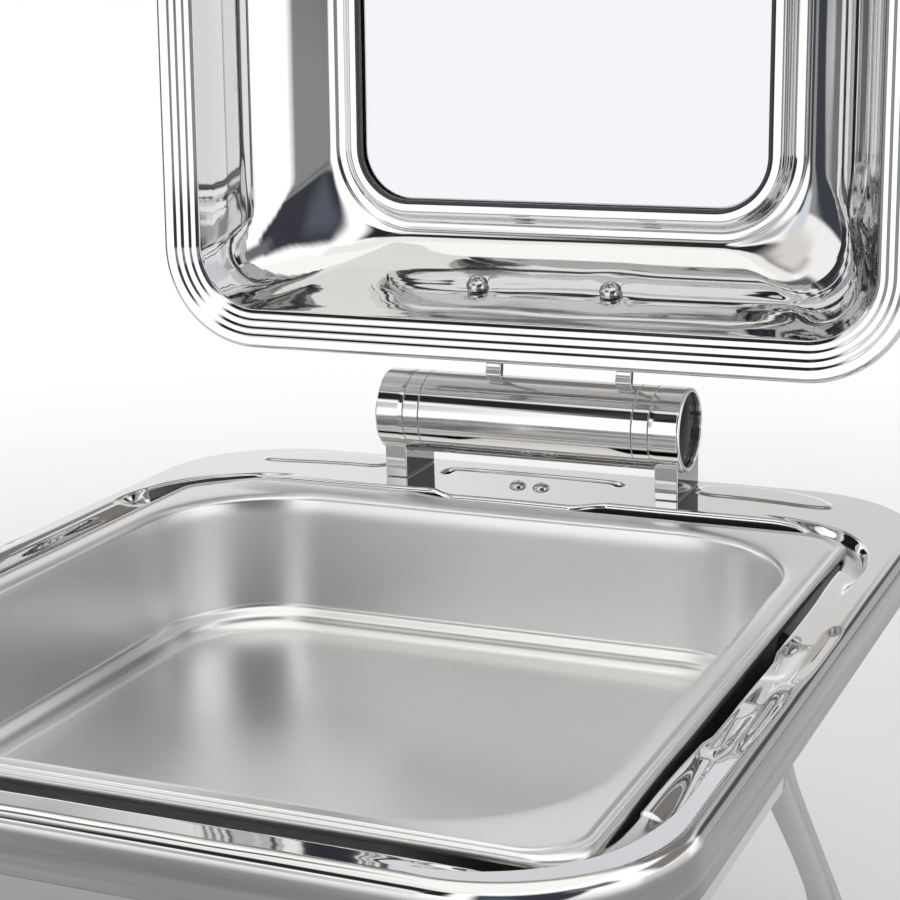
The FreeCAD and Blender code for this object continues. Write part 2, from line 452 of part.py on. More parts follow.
# gel fuel in the can, its top a little below the mouth
put("fuel_gel", revolve_z([(0, -197.6), (41.0, -197.6), (41.0, -158.0), (0, -157.6)]))
pin = revolve_axis([(zp, 0), (zp, 1.6), (zp + 1.2, 1.6), (zp + 1.2, 3.4), (-143.6, 3.4), (-143.6, 2.0), (-141.9, 2.0), (-141.9, 3.3), (-140.4, 2.6), (-140.0, 0)],
                   (-47.6, 0, 0), (0, 0, 1))
put("cover_pin", pin)
cover = cyl(43.2, (0, 0, -143.6), (0, 0, 1), 1.5)
cover = cover.fuse(cyl(6.0, (-47.6, 0, -143.6), (0, 0, 1), 1.5)).fuse(box(-47.6, -38, -6, 6, -143.6, -142.1))
cover = cover.fuse(box(-6, 6, -64, -40, -143.6, -142.1)).fuse(cyl(6.0, (0, -64, -143.6), (0, 0, 1), 1.5))
cover = cover.cut(cyl(2.05, (-47.6, 0, -150), (0, 0, 1), 20))
cover = cover.removeSplitter()
put("burner_cover", cover)

# ---- export --------------------------------------------------------------------
bb = None
for s in made.values():
    b = s.optimalBoundingBox(False) if hasattr(s, "optimalBoundingBox") else s.BoundBox
    bb = b if bb is None else bb.united(b)
shift = V(-(bb.XMin + bb.XMax) / 2.0, -(bb.YMin + bb.YMax) / 2.0, -bb.ZMin)
print("shift", tuple(round(c, 3) for c in shift), "size", round(bb.XLength, 2), round(bb.YLength, 2), round(bb.ZLength, 2))
for name, s in made.items():
    s.translate(shift)
    ok = s.isValid() and all(k.isClosed() for k in s.Shells)
    vol = sum(k.Volume for k in s.Solids)
    print(("ok " if ok and s.Solids and vol > 0 else "BAD"), name, len(s.Solids), round(vol, 1))
    s.exportStep(os.path.join("parts", name + ".step"))
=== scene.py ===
import bpy, bmesh, math, json
import numpy as np
from mathutils import Vector, Matrix


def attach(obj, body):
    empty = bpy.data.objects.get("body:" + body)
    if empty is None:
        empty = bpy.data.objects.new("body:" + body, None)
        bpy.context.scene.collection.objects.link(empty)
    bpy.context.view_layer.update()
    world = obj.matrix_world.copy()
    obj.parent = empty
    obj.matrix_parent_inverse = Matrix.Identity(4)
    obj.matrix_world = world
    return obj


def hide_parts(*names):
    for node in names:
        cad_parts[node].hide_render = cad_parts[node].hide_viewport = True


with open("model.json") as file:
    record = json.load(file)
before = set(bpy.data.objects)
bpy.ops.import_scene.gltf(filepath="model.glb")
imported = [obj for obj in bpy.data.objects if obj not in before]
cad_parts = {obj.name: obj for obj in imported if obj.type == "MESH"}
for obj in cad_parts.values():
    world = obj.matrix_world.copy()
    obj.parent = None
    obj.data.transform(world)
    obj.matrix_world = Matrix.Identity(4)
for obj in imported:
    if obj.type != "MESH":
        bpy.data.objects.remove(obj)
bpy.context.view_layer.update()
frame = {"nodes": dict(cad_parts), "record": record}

MM = 0.001
SHIFT = np.array([0.0, -28.635, 205.0])     # working frame (mm) to row frame (mm)
HINGE_Y, HINGE_Z = 220.0, 32.8
OPEN = math.radians(91.6)

# ------------------------------------------------------------------ camera
def make_camera():
    f, az, pi, ro = 2079.18, math.radians(23.47), math.radians(12.99), math.radians(1.17)
    C = np.array([353.78, -700.54, 260.17])
    fwd = np.array([-math.sin(az) * math.cos(pi), math.cos(az) * math.cos(pi), -math.sin(pi)])
    right = np.array([math.cos(az), math.sin(az), 0.0])
    down = np.cross(fwd, right)
    r2 = right * math.cos(ro) + down * math.sin(ro)
    d2 = -right * math.sin(ro) + down * math.cos(ro)
    M = Matrix.Identity(4)
    for i in range(3):
        M[i][0] = r2[i]
        M[i][1] = -d2[i]
        M[i][2] = -fwd[i]
        M[i][3] = (C[i] + SHIFT[i]) * MM
    data = bpy.data.cameras.new("photo_camera")
    cam = bpy.data.objects.new("photo_camera", data)
    bpy.context.scene.collection.objects.link(cam)
    cam.matrix_world = M
    data.sensor_width = 36.0
    data.sensor_fit = "AUTO"
    data.lens = f / 900.0 * 36.0
    data.shift_x = 0.0
    data.shift_y = -30.0 / 900.0
    data.clip_start, data.clip_end = 0.01, 50.0
    bpy.context.scene.camera = cam
    return cam
camera = make_camera()

# ------------------------------------------------------------------ mesh helpers
def W(p):
    """working-frame mm -> row-frame metres"""
    return ((np.asarray(p, float) + SHIFT) * MM)

def turn_open(P):
    """closed-lid coordinates (mm, working frame) -> open lid"""
    P = np.asarray(P, float).copy()
    y, z = P[..., 1] - HINGE_Y, P[..., 2] - HINGE_Z
    c, s = math.cos(OPEN), math.sin(OPEN)
    P[..., 1] = HINGE_Y + y * c + z * s
    P[..., 2] = HINGE_Z - y * s + z * c
    return P

def new_mesh(name, verts, faces, mat=None, smooth=True):
    me = bpy.data.meshes.new(name)
    me.from_pydata([tuple(v) for v in verts], [], faces)
    me.validate()
    if smooth:
        me.polygons.foreach_set("use_smooth", [True] * len(me.polygons))
    me.update()
    ob = bpy.data.objects.new(name, me)
    bpy.context.scene.collection.objects.link(ob)
    if mat is not None:
        me.materials.append(mat)
    return ob

def fillet(poly, radii, seg=6, closed=False, guard=0.35, step=6.0):
    """2D polyline with rounded corners.  Straight runs get a guard point
    beside each fillet and points every `step` mm, so shading stays flat."""
    P = [np.array(p, float) for p in poly]
    n = len(P)
    out = []
    def corner(i):
        if not closed and (i == 0 or i == n - 1):
            return [P[i]]
        a, b, c = P[i - 1], P[i], P[(i + 1) % n]
        u, v = a - b, c - b
        lu, lv = np.linalg.norm(u), np.linalg.norm(v)
        if lu < 1e-9 or lv < 1e-9:
            return [b]
        u, v = u / lu, v / lv
        cosang = float(np.clip(np.dot(u, v), -1, 1))
        ang = math.acos(cosang)
        r = radii[i] if i < len(radii) else 0.0
        if r <= 0 or ang > math.pi - 0.02:
            return [b]
        t = r / math.tan(ang / 2)
        t = min(t, 0.48 * lu, 0.48 * lv)
        r = t * math.tan(ang / 2)
        p0, p1 = b + u * t, b + v * t
        bis = (u + v); bis /= np.linalg.norm(bis)
        cen = b + bis * (r / math.sin(ang / 2))
        a0 = math.atan2(*(p0 - cen)[::-1]); a1 = math.atan2(*(p1 - cen)[::-1])
        d = a1 - a0
        while d > math.pi: d -= 2 * math.pi
        while d < -math.pi: d += 2 * math.pi
        k = max(2, int(math.ceil(seg * abs(d) / (math.pi / 2))))
        return [cen + r * np.array([math.cos(a0 + d * j / k), math.sin(a0 + d * j / k)]) for j in range(k + 1)]
    corners = [corner(i) for i in range(n)]
    m = n if closed else n - 1
    for i in range(n):
        out += corners[i]
        if i < m:
            a = corners[i][-1]; b = corners[(i + 1) % n][0]
            L = np.linalg.norm(b - a)
            if L > 3 * guard:
                ts = [guard / L, 1 - guard / L]
                k = int(L // step)
                ts += [j / (k + 1) for j in range(1, k + 1)]
                out += [a + (b - a) * t for t in sorted(ts)]
    return np.array(out)

def rring(x, yf, yr, r, nx, ny, nc):
    """points of a rounded rectangle, anticlockwise, starting at the right side.
    nx, ny: divisions of the short (along X) and long (along Y) straights."""
    r = max(r, 0.01)
    pts = []
    def line(a, b, k):
        for j in range(k):
            t = j / k
            pts.append((a[0] + (b[0] - a[0]) * t, a[1] + (b[1] - a[1]) * t))
    def arc(cx, cy, a0, k):
        for j in range(k):
            a = math.radians(a0 + 90.0 * j / k)
            pts.append((cx + r * math.cos(a), cy + r * math.sin(a)))
    line((x, yf + r), (x, yr - r), ny); arc(x - r, yr - r, 0, nc)
    line((x - r, yr), (-x + r, yr), nx); arc(-x + r, yr - r, 90, nc)
    line((-x, yr - r), (-x, yf + r), ny); arc(-x + r, yf + r, 180, nc)
    line((-x + r, yf), (x - r, yf), nx); arc(x - r, yf + r, 270, nc)
    return np.array(pts)

def loft(name, rings, mat, wrap=True, cap=(False, False), flip=False):
    """rings: (R, N, 3) array in row-frame metres.  wrap joins last ring to first."""
    R = np.asarray(rings, float)
    r, n, _ = R.shape
    verts = R.reshape(-1, 3)
    faces = []
    for i in (range(r) if wrap else range(r - 1)):
        i2 = (i + 1) % r
        for j in range(n):
            j2 = (j + 1) % n
            q = (i * n + j, i * n + j2, i2 * n + j2, i2 * n + j)
            faces.append(q[::-1] if flip else q)
    if cap[0]:
        q = tuple(range(n)); faces.append(q if flip else q[::-1])
    if cap[1]:
        q = tuple((r - 1) * n + j for j in range(n)); faces.append(q[::-1] if flip else q)
    return new_mesh(name, verts, faces, mat)

def lathe(name, prof, base, axis, mat, n=128, closed=True):
    """prof: (s along axis, radius) in mm; base in working-frame mm"""
    a = np.array(axis, float); a /= np.linalg.norm(a)
    u = np.cross(a, [1.0, 0, 0]);
    if np.linalg.norm(u) < 0.1: u = np.cross(a, [0, 1.0, 0])
    u /= np.linalg.norm(u); v = np.cross(a, u)
    b = np.array(base, float)
    prof = np.asarray(prof, float)
    th = np.linspace(0, 2 * math.pi, n, endpoint=False)
    verts = []; faces = []; idx = []
    for s, r in prof:
        if r < 1e-6:
            idx.append([len(verts)]); verts.append(b + a * s)
        else:
            k0 = len(verts)
            for t in th:
                verts.append(b + a * s + (u * math.cos(t) + v * math.sin(t)) * r)
            idx.append(list(range(k0, k0 + n)))
    m = len(prof)
    for i in range(m if closed else m - 1):
        A, B = idx[i], idx[(i + 1) % m]
        if len(A) == 1 and len(B) == 1: continue
        for j in range(n):
            j2 = (j + 1) % n
            if len(A) == 1: faces.append((A[0], B[j2], B[j]))
            elif len(B) == 1: faces.append((A[j], A[j2], B[0]))
            else: faces.append((A[j], A[j2], B[j2], B[j]))
    ob = new_mesh(name, W(np.array(verts)), faces, mat)
    fix_normals(ob)
    return ob

def fix_normals(ob):
    bm = bmesh.new(); bm.from_mesh(ob.data)
    bmesh.ops.recalc_face_normals(bm, faces=bm.faces)
    bm.to_mesh(ob.data); bm.free()
    ob.data.polygons.foreach_set("use_smooth", [True] * len(ob.data.polygons))
    ob.data.update()

# ------------------------------------------------------------------ materials
def mat_base(name):
    m = bpy.data.materials.new(name)
    m.use_nodes = True
    nt = m.node_tree
    b = nt.nodes["Principled BSDF"]
    return m, nt, b

def N(nt, kind, **kw):
    n = nt.nodes.new(kind)
    for k, v in kw.items():
        setattr(n, k, v)
    return n

def ramp(nt, fac, stops, interp="LINEAR"):
    r = nt.nodes.new("ShaderNodeValToRGB")
    r.color_ramp.interpolation = interp
    els = r.color_ramp.elements
    els[0].position, els[0].color = stops[0][0], (*stops[0][1], 1) if len(stops[0][1]) == 3 else stops[0][1]
    els[1].position, els[1].color = stops[-1][0], (*stops[-1][1], 1)
    for p, c in stops[1:-1]:
        e = els.new(p); e.color = (*c, 1)
    nt.links.new(fac, r.inputs[0])
    return r.outputs[0]

def steel(name, base=(0.80, 0.80, 0.80), rough=0.04, rough_var=0.05, grain=0.0, grain_dir=(1, 1, 1), bump=0.0, smudge=0.06, scratches=True):
    """polished or satin sheet: handling haze, a fine roughness speckle, faint
    tone change, all from object-space noise"""
    m, nt, b = mat_base(name)
    L = nt.links
    b.inputs["Metallic"].default_value = 1.0
    tc = N(nt, "ShaderNodeTexCoord")
    n1 = N(nt, "ShaderNodeTexNoise"); n1.inputs["Scale"].default_value = 9.0; n1.inputs["Detail"].default_value = 4.0; n1.inputs["Roughness"].default_value = 0.55
    L.new(tc.outputs["Object"], n1.inputs["Vector"])
    n2 = N(nt, "ShaderNodeTexNoise"); n2.inputs["Scale"].default_value = 60.0; n2.inputs["Detail"].default_value = 3.0
    L.new(tc.outputs["Object"], n2.inputs["Vector"])
    dark = tuple(c * (1 - smudge) for c in base)
    col = ramp(nt, n1.outputs["Fac"], [(0.15, dark), (0.85, base)])
    L.new(col, b.inputs["Base Color"])
    mp = N(nt, "ShaderNodeMapRange")
    mp.inputs["From Min"].default_value = 0.20; mp.inputs["From Max"].default_value = 1.05
    mp.inputs["To Min"].default_value = rough; mp.inputs["To Max"].default_value = rough + rough_var
    mix = N(nt, "ShaderNodeMath", operation="MULTIPLY_ADD")
    L.new(n2.outputs["Fac"], mix.inputs[0]); mix.inputs[1].default_value = 0.25
    L.new(n1.outputs["Fac"], mix.inputs[2])
    L.new(mix.outputs[0], mp.inputs["Value"])
    L.new(mp.outputs[0], b.inputs["Roughness"])
    return m, nt, b, tc

M = {}
m, nt, b, tc = steel("polished_steel", (0.725, 0.722, 0.717), 0.02, 0.04); M["polished_steel"] = m
m, nt, b, tc = steel("barrel_steel", (0.725, 0.72, 0.715), 0.018, 0.03); M["barrel_steel"] = m
m, nt, b, tc = steel("satin_steel", (0.82, 0.817, 0.81), 0.281, 0.05); M["satin_steel"] = m
m, nt, b, tc = steel("bare_steel", (0.50, 0.50, 0.49), 0.30, 0.1); M["bare_steel"] = m
m, nt, b, tc = steel("fastener_steel", (0.58, 0.58, 0.57), 0.10, 0.08); M["fastener_steel"] = m
m, nt, b, tc = steel("spring_steel", (0.35, 0.34, 0.33), 0.3, 0.1); M["spring_steel"] = m
m, nt, b, tc = steel("can_tinplate", (0.58, 0.56, 0.51), 0.285, 0.08); M["can_tinplate"] = m

def stand_steel():
    """thin sheet of the stand: bright, with a fine lengthways brushing"""
    m, nt, b, tc = steel("stand_steel", (0.70, 0.698, 0.69), 0.09, 0.06)
    L = nt.links
    st = N(nt, "ShaderNodeMapping"); st.inputs["Scale"].default_value = (420.0, 420.0, 9.0)
    L.new(tc.outputs["Object"], st.inputs["Vector"])
    n3 = N(nt, "ShaderNodeTexNoise"); n3.inputs["Scale"].default_value = 1.0; n3.inputs["Detail"].default_value = 5.0
    L.new(st.outputs[0], n3.inputs["Vector"])
    rgh_in = b.inputs["Roughness"].links[0].from_socket
    ad = N(nt, "ShaderNodeMath", operation="MULTIPLY_ADD"); ad.inputs[1].default_value = 0.11
    L.new(n3.outputs["Fac"], ad.inputs[0]); L.new(rgh_in, ad.inputs[2]); L.new(ad.outputs[0], b.inputs["Roughness"])
    bp = N(nt, "ShaderNodeBump"); bp.inputs["Strength"].default_value = 0.12; bp.inputs["Distance"].default_value = 0.0002
    L.new(n3.outputs["Fac"], bp.inputs["Height"]); L.new(bp.outputs[0], b.inputs["Normal"])
    return m
M["stand_steel"] = stand_steel()

def deck_steel():
    """mirror polish on top; below the outer fold the skirt is brushed lengthways and rougher, and its colour is
    darkened as painted shade
    """
    m, nt, b, tc = steel("deck_polished_steel", (0.725, 0.722, 0.717), 0.02, 0.04)
    L = nt.links
    sep = N(nt, "ShaderNodeSeparateXYZ"); L.new(tc.outputs["Object"], sep.inputs[0])
    mr = N(nt, "ShaderNodeMapRange"); mr.interpolation_type = "SMOOTHSTEP"
    mr.inputs["From Min"].default_value = 0.2030; mr.inputs["From Max"].default_value = 0.2000
    L.new(sep.outputs["Z"], mr.inputs["Value"])
    st = N(nt, "ShaderNodeMapping"); st.inputs["Scale"].default_value = (6.0, 6.0, 260.0)
    L.new(tc.outputs["Object"], st.inputs["Vector"])
    n3 = N(nt, "ShaderNodeTexNoise"); n3.inputs["Scale"].default_value = 1.0; n3.inputs["Detail"].default_value = 4.0
    L.new(st.outputs[0], n3.inputs["Vector"])
    # painted shade: the skirt's colour is set far darker than the polished top, besides its real brushing
    skirt_brushed_shaded_col = ramp(nt, n3.outputs["Fac"], [(0.30, (0.24, 0.24, 0.245)), (0.70, (0.38, 0.378, 0.376))])
    col_in = b.inputs["Base Color"].links[0].from_socket
    rgh_in = b.inputs["Roughness"].links[0].from_socket
    mc = N(nt, "ShaderNodeMix"); mc.data_type = "RGBA"
    L.new(mr.outputs[0], mc.inputs["Factor"]); L.new(col_in, mc.inputs["A"]); L.new(skirt_brushed_shaded_col, mc.inputs["B"])
    L.new(mc.outputs["Result"], b.inputs["Base Color"])
    ad = N(nt, "ShaderNodeMath", operation="MULTIPLY_ADD"); ad.inputs[1].default_value = 0.16
    L.new(mr.outputs[0], ad.inputs[0]); L.new(rgh_in, ad.inputs[2]); L.new(ad.outputs[0], b.inputs["Roughness"])
    return m
M["deck_polished"] = deck_steel()
# the underside of the deck and its turned-down hem get a near-black dull steel: painted shade that darkens the gap
# round the pan
M["deck_under"] = steel("deck_under_steel", (0.075, 0.073, 0.071), 0.34, 0.10)[0]

def plain(name, col, rough, var=0.08, bump=0.15, scale=400.0):
    m, nt, b = mat_base(name)
    L = nt.links
    tc = N(nt, "ShaderNodeTexCoord")
    n1 = N(nt, "ShaderNodeTexNoise"); n1.inputs["Scale"].default_value = scale; n1.inputs["Detail"].default_value = 3.0
    L.new(tc.outputs["Object"], n1.inputs["Vector"])
    n2 = N(nt, "ShaderNodeTexNoise"); n2.inputs["Scale"].default_value = 18.0; n2.inputs["Detail"].default_value = 4.0
    L.new(tc.outputs["Object"], n2.inputs["Vector"])
    c = ramp(nt, n2.outputs["Fac"], [(0.3, tuple(x * 0.8 for x in col)), (0.7, tuple(min(1, x * 1.25 + 0.002) for x in col))])
    L.new(c, b.inputs["Base Color"])
    mp = N(nt, "ShaderNodeMapRange"); mp.inputs["To Min"].default_value = rough - var; mp.inputs["To Max"].default_value = rough + var
    L.new(n2.outputs["Fac"], mp.inputs["Value"]); L.new(mp.outputs[0], b.inputs["Roughness"])
    bp = N(nt, "ShaderNodeBump"); bp.inputs["Strength"].default_value = bump; bp.inputs["Distance"].default_value = 0.0002
    L.new(n1.outputs["Fac"], bp.inputs["Height"]); L.new(bp.outputs[0], b.inputs["Normal"])
    return m
M["black_plastic"] = plain("black_plastic", (0.012, 0.012, 0.014), 0.14, 0.04, 0.05)
M["bearing_plastic"] = plain("bearing_plastic", (0.75, 0.73, 0.68), 0.45)
M["damper_plastic"] = plain("damper_plastic", (0.05, 0.05, 0.055), 0.5)
M["gasket_rubber"] = plain("gasket_rubber", (0.035, 0.035, 0.038), 0.38)
M["foot_rubber"] = plain("foot_rubber", (0.02, 0.02, 0.02), 0.6)
M["gel"] = plain("gel", (0.75, 0.30, 0.42), 0.2)

def glass():
    m, nt, b = mat_base("window_glass")
    L = nt.links
    b.inputs["Base Color"].default_value = (0.86, 0.87, 0.89, 1)
    b.inputs["Transmission Weight"].default_value = 1.0
    b.inputs["IOR"].default_value = 1.45
    tc = N(nt, "ShaderNodeTexCoord")
    n1 = N(nt, "ShaderNodeTexNoise"); n1.inputs["Scale"].default_value = 14.0; n1.inputs["Detail"].default_value = 4.0
    L.new(tc.outputs["Object"], n1.inputs["Vector"])
    mp = N(nt, "ShaderNodeMapRange"); mp.inputs["To Min"].default_value = 0.0; mp.inputs["To Max"].default_value = 0.03
    L.new(n1.outputs["Fac"], mp.inputs["Value"]); L.new(mp.outputs[0], b.inputs["Roughness"])
    return m
M["window_glass"] = glass()
M["black_plastic"].node_tree.nodes["Principled BSDF"].inputs["IOR"].default_value = 1.16

slot_of = {s["node"]: s["material_slot"] for s in frame["record"]["subparts"]}
for n, o in frame["nodes"].items():
    mat = M.get(slot_of.get(n))
    if mat is not None:
        o.data.materials.clear()
        o.data.materials.append(mat)
    o.data.polygons.foreach_set("use_smooth", [True] * len(o.data.polygons))
    if n.startswith(("leg_", "stand_", "burner_shelf", "burner_cup")) and slot_of.get(n) == "polished_steel":
        o.data.materials[0] = M["stand_steel"]

# ------------------------------------------------------------------ shaping helpers
def soften(rows, rad, seg=5, guard=0.35, step=5.0, closed=True):
    """rows of (x, y, r, z): every row corner is rounded with a small curve and
    long flats get extra rows, so that smooth shading keeps them flat"""
    P = np.asarray(rows, float); n = len(P)
    rad = [rad] * n if np.isscalar(rad) else list(rad)
    out = []; cs = []
    def d(a, b):
        return max(1e-9, math.hypot(a[0] - b[0], a[3] - b[3]))
    for i in range(n):
        if not closed and (i == 0 or i == n - 1):
            cs.append([P[i]]); continue
        a, b, c = P[i - 1], P[i], P[(i + 1) % n]
        la, lc = d(a, b), d(b, c)
        t = min(rad[i], 0.45 * la, 0.45 * lc)
        if t < 0.01:
            cs.append([b]); continue
        p0, p1 = b + (a - b) * t / la, b + (c - b) * t / lc
        q = []
        for j in range(seg + 1):
            u = j / seg
            q.append(p0 * (1 - u) ** 2 + b * 2 * u * (1 - u) + p1 * u * u)
        cs.append(q)
    for i in range(n):
        out += cs[i]
        if i < n - 1 or closed:
            a, b = cs[i][-1], cs[(i + 1) % n][0]
            L = math.hypot(math.hypot(a[0] - b[0], a[3] - b[3]), 0)
            if L > 3 * guard:
                ts = [guard / L, 1 - guard / L] + [j / (int(L // step) + 1) for j in range(1, int(L // step) + 1)]
                out += [a + (b - a) * t for t in sorted(ts)]
    return np.array(out)

def rings_of(rows, nx, ny, nc, front=None):
    """(R, N, 3) points in working mm; rows are (x, y, r, z) with yf = -y"""
    out = []
    for x, y, r, z in rows:
        q = rring(x, -y, y, r, nx, ny, nc)
        out.append(np.column_stack([q, np.full(len(q), z)]))
    return np.array(out)

def waves(P, wl, amp, seed, k=10):
    """smooth low-amplitude unevenness of pressed sheet"""
    rs = np.random.RandomState(seed)
    out = np.zeros(P.shape[:-1])
    for i in range(k):
        v = rs.normal(size=3); v /= np.linalg.norm(v)
        out += np.sin((P @ v) * 2 * math.pi / (wl * (0.7 + 0.8 * rs.rand())) + rs.rand() * 6.283)
    return out * amp / math.sqrt(k)

def vert_normals(R, wrap):
    """unit normals of a ring grid (R, N, 3)"""
    if wrap:
        du = np.roll(R, -1, 0) - np.roll(R, 1, 0)
    else:
        du = np.gradient(R, axis=0)
    dv = np.roll(R, -1, 1) - np.roll(R, 1, 1)
    n = np.cross(du, dv)
    return n / np.maximum(1e-9, np.linalg.norm(n, axis=-1, keepdims=True))

def catmull(pts, k=12, closed=False):
    P = np.asarray(pts, float); n = len(P); out = []
    for i in range(n if closed else n - 1):
        p0 = P[i - 1] if (i > 0 or closed) else 2 * P[0] - P[1]
        p1, p2 = P[i], P[(i + 1) % n]
        p3 = P[(i + 2) % n] if (i + 2 < n or closed) else 2 * P[-1] - P[-2]
        for j in range(k):
            t = j / k
            out.append(0.5 * ((2 * p1) + (p2 - p0) * t + (2 * p0 - 5 * p1 + 4 * p2 - p3) * t * t + (3 * p1 - p0 - 3 * p2 + p3) * t ** 3))
    if not closed:
        out.append(P[-1])
    return np.array(out)

def sstep(t):
    t = np.clip(t, 0, 1)
    return t * t * (3 - 2 * t)

def dist_poly(x, y, poly, closed=False):
    """distance of points to a polyline"""
    P = np.asarray(poly, float)
    Q = np.roll(P, -1, 0) if closed else P[1:]
    P = P if closed else P[:-1]
    best = np.full(x.shape, 1e9)
    for (ax, ay), (bx, by) in zip(P, Q):
        dx, dy = bx - ax, by - ay
        L = dx * dx + dy * dy + 1e-12
        t = np.clip(((x - ax) * dx + (y - ay) * dy) / L, 0, 1)
        best = np.minimum(best, np.hypot(x - ax - t * dx, y - ay - t * dy))
    return best

def inside_poly(x, y, poly):
    P = np.asarray(poly, float)
    c = np.zeros(x.shape, bool)
    for (ax, ay), (bx, by) in zip(P, np.roll(P, -1, 0)):
        m = ((ay > y) != (by > y)) & (x < (bx - ax) * (y - ay) / (by - ay + 1e-12) + ax)
        c ^= m
    return c

def finish_piece(ob, body, slot, *nodes):
    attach(ob, body)
    if nodes:
        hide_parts(*nodes)
    return ob

# ------------------------------------------------------------------ food pan
pan_in = [(0.6, 14.6, 0.3, -65.15), (60.0, 74.0, 20.0, -65.1), (131.0, 145.0, 44.0, -65.0), (137.6, 151.6, 47.0, -64.6), (140.6, 154.6, 49.0, -61.2),
          (141.8, 155.8, 50.0, -58.6), (146.0, 160.0, 54.0, -55.4), (146.4, 160.4, 55.0, -50.0),
          (148.9, 162.9, 60.0, -8.0), (150.3, 164.3, 61.4, -1.4), (154.2, 168.2, 62.0, -0.15),
          (158.5, 173.0, 18.8, -0.15), (159.5, 174.0, 18.0, -0.85), (160.3, 174.8, 17.2, -0.75), (161.6, 176.1, 16.6, -0.05), (163.1, 177.6, 16.0, -1.2), (163.5, 178.0, 15.8, -2.8), (163.3, 177.8, 15.8, -4.0)]
pan_out = [(162.5, 177.0, 15.2, -4.0), (162.4, 176.9, 15.1, -2.8), (161.2, 175.7, 15.6, -1.6), (158.2, 172.7, 16.4, -1.7),
           (154.2, 168.2, 61.2, -1.1), (151.4, 165.4, 61.4, -2.6), (149.9, 163.9, 61.0, -8.2), (147.4, 161.4, 56.0, -50.2),
           (146.6, 160.6, 55.0, -56.0), (142.8, 156.8, 51.0, -59.2), (141.6, 155.6, 50.0, -62.0), (138.4, 152.4, 47.6, -65.4),
           (131.2, 145.2, 44.2, -66.0), (0.6, 14.6, 0.3, -66.0)]
rad_in = [0, 0, 3.5, 2.6, 1.2, 1.4, 2.0, 2.0, 4.0, 2.2, 1.6, 0.7, 0.5, 0.6, 1.0, 1.0, 0.8, 0.3]
rad_out = [0.3, 0.6, 0.8, 0.8, 1.5, 2.0, 3.0, 3.0, 3.0, 1.5, 1.5, 2.5, 3.0, 0]
rows = soften(pan_in + pan_out, rad_in + rad_out, seg=5, closed=False)
G = rings_of(rows, 36, 40, 22)
G = G + vert_normals(G, False) * (waves(G, 90.0, 0.07, 3) + waves(G, 30.0, 0.012, 4))[..., None]
lip = sstep((G[..., 2] + 9.0) / 5.0)
G[..., 0] += lip * np.sign(G[..., 0]) * 1.9 * np.clip((abs(G[..., 0]) - 156.0) / 6.0, 0, 1)
G[..., 1] += lip * (4.2 - 0.012 * G[..., 0]) * np.clip((G[..., 1] - 168.0) / 9.0, 0, 1)
# the rear flange rises and lies closer to the deck left of the middle
bow = sstep((-G[..., 0] - 26.0) / 30.0) * sstep((G[..., 0] + 152.0) / 24.0) * lip
G[..., 1] += 2.2 * bow * np.clip((G[..., 1] - 166.0) / 9.0, 0, 1)
G[..., 2] += 1.5 * bow * np.clip((G[..., 1] - 164.0) / 12.0, 0, 1)
cw = np.exp(-((G[..., 0] + 158.0) ** 2 + (G[..., 1] - 184.0) ** 2) / (2 * 13.0 ** 2)) * lip
G[..., 0] += 2.6 * cw; G[..., 1] -= 3.4 * cw
pan = loft("pan_body", W(G), M["satin_steel"], wrap=False, cap=(True, True))
fix_normals(pan)
finish_piece(pan, "food_pan", "satin_steel", "food_pan")

# ------------------------------------------------------------------ deck
RY = 195.1                       # rear inner edge
FSH = 0.0                        # the front inner edge lies nearer by this
def quadrant(pts):
    """closed curve from a rear-right quarter: (x, y[, z]) points from the side
    towards the rear"""
    Q = [np.array(p, float) for p in pts]
    front = [q * np.array([1, -1] + [1] * (len(q) - 2)) + np.array([0, FSH] + [0] * (len(q) - 2)) for q in Q]
    right = front[::-1] + Q
    left = [q * np.array([-1, 1] + [1] * (len(q) - 2)) for q in right[::-1]]
    return catmull(right + left, 10, closed=True)

W1C = quadrant([(180.8, 40, 1), (180.8, 80, 1), (181.0, 100, 1), (181.2, 118, 1), (181.1, 128, 1), (180.4, 137, 1), (178.2, 149.1, 1), (175.5, 158.6, 1), (172.0, 167.2, 1),
                (166.7, 175.6, 1), (160.5, 182.8, 1), (153.3, 188.2, 1), (146.0, 192.3, 1), (138.0, 195.6, 1), (128.0, 198.0, 1), (116.0, 199.4, 1), (90.0, 200.2, 1), (40.0, 200.4, 1)])
W2C = quadrant([(177.6, 40, 0.9), (177.6, 80, 0.8), (177.8, 100, 0.1), (178.2, 118, -2.2), (178.3, 128, -3.4), (177.6, 137, -4), (175.4, 147.5, -4), (172.6, 156.6, -4), (168.9, 164.4, -4),
                (163.9, 172.0, -4), (158.3, 178.4, -4), (151.6, 183.2, -4), (145.0, 187.8, -3.2), (138.0, 191.6, -1.2), (128.0, 195.2, 0.4), (116.0, 197.0, 0.9), (90.0, 197.6, 1), (40.0, 197.8, 1)])
HC = quadrant([(171.2, 40, -0.2), (170.8, 80, -0.3), (169.8, 100, -0.7), (168.6, 118, -1.8), (168.0, 128, -2.6), (167.1, 140, -3.6), (165.6, 152, -4), (162.6, 160, -4), (158.4, 167, -4),
               (153.6, 174.0, -4), (149.4, 179.0, -4), (145.8, 183.2, -4), (141.6, 187.4, -3.4), (136.0, 190.4, -1.6), (128.0, 191.8, -0.6), (116.0, 192.0, -0.4), (90.0, 192.0, -0.4), (40.0, 192.0, -0.4)])

def ring_pts(x, yf, yr, r):
    return rring(x, yf, yr, r, 60, 60, 60)

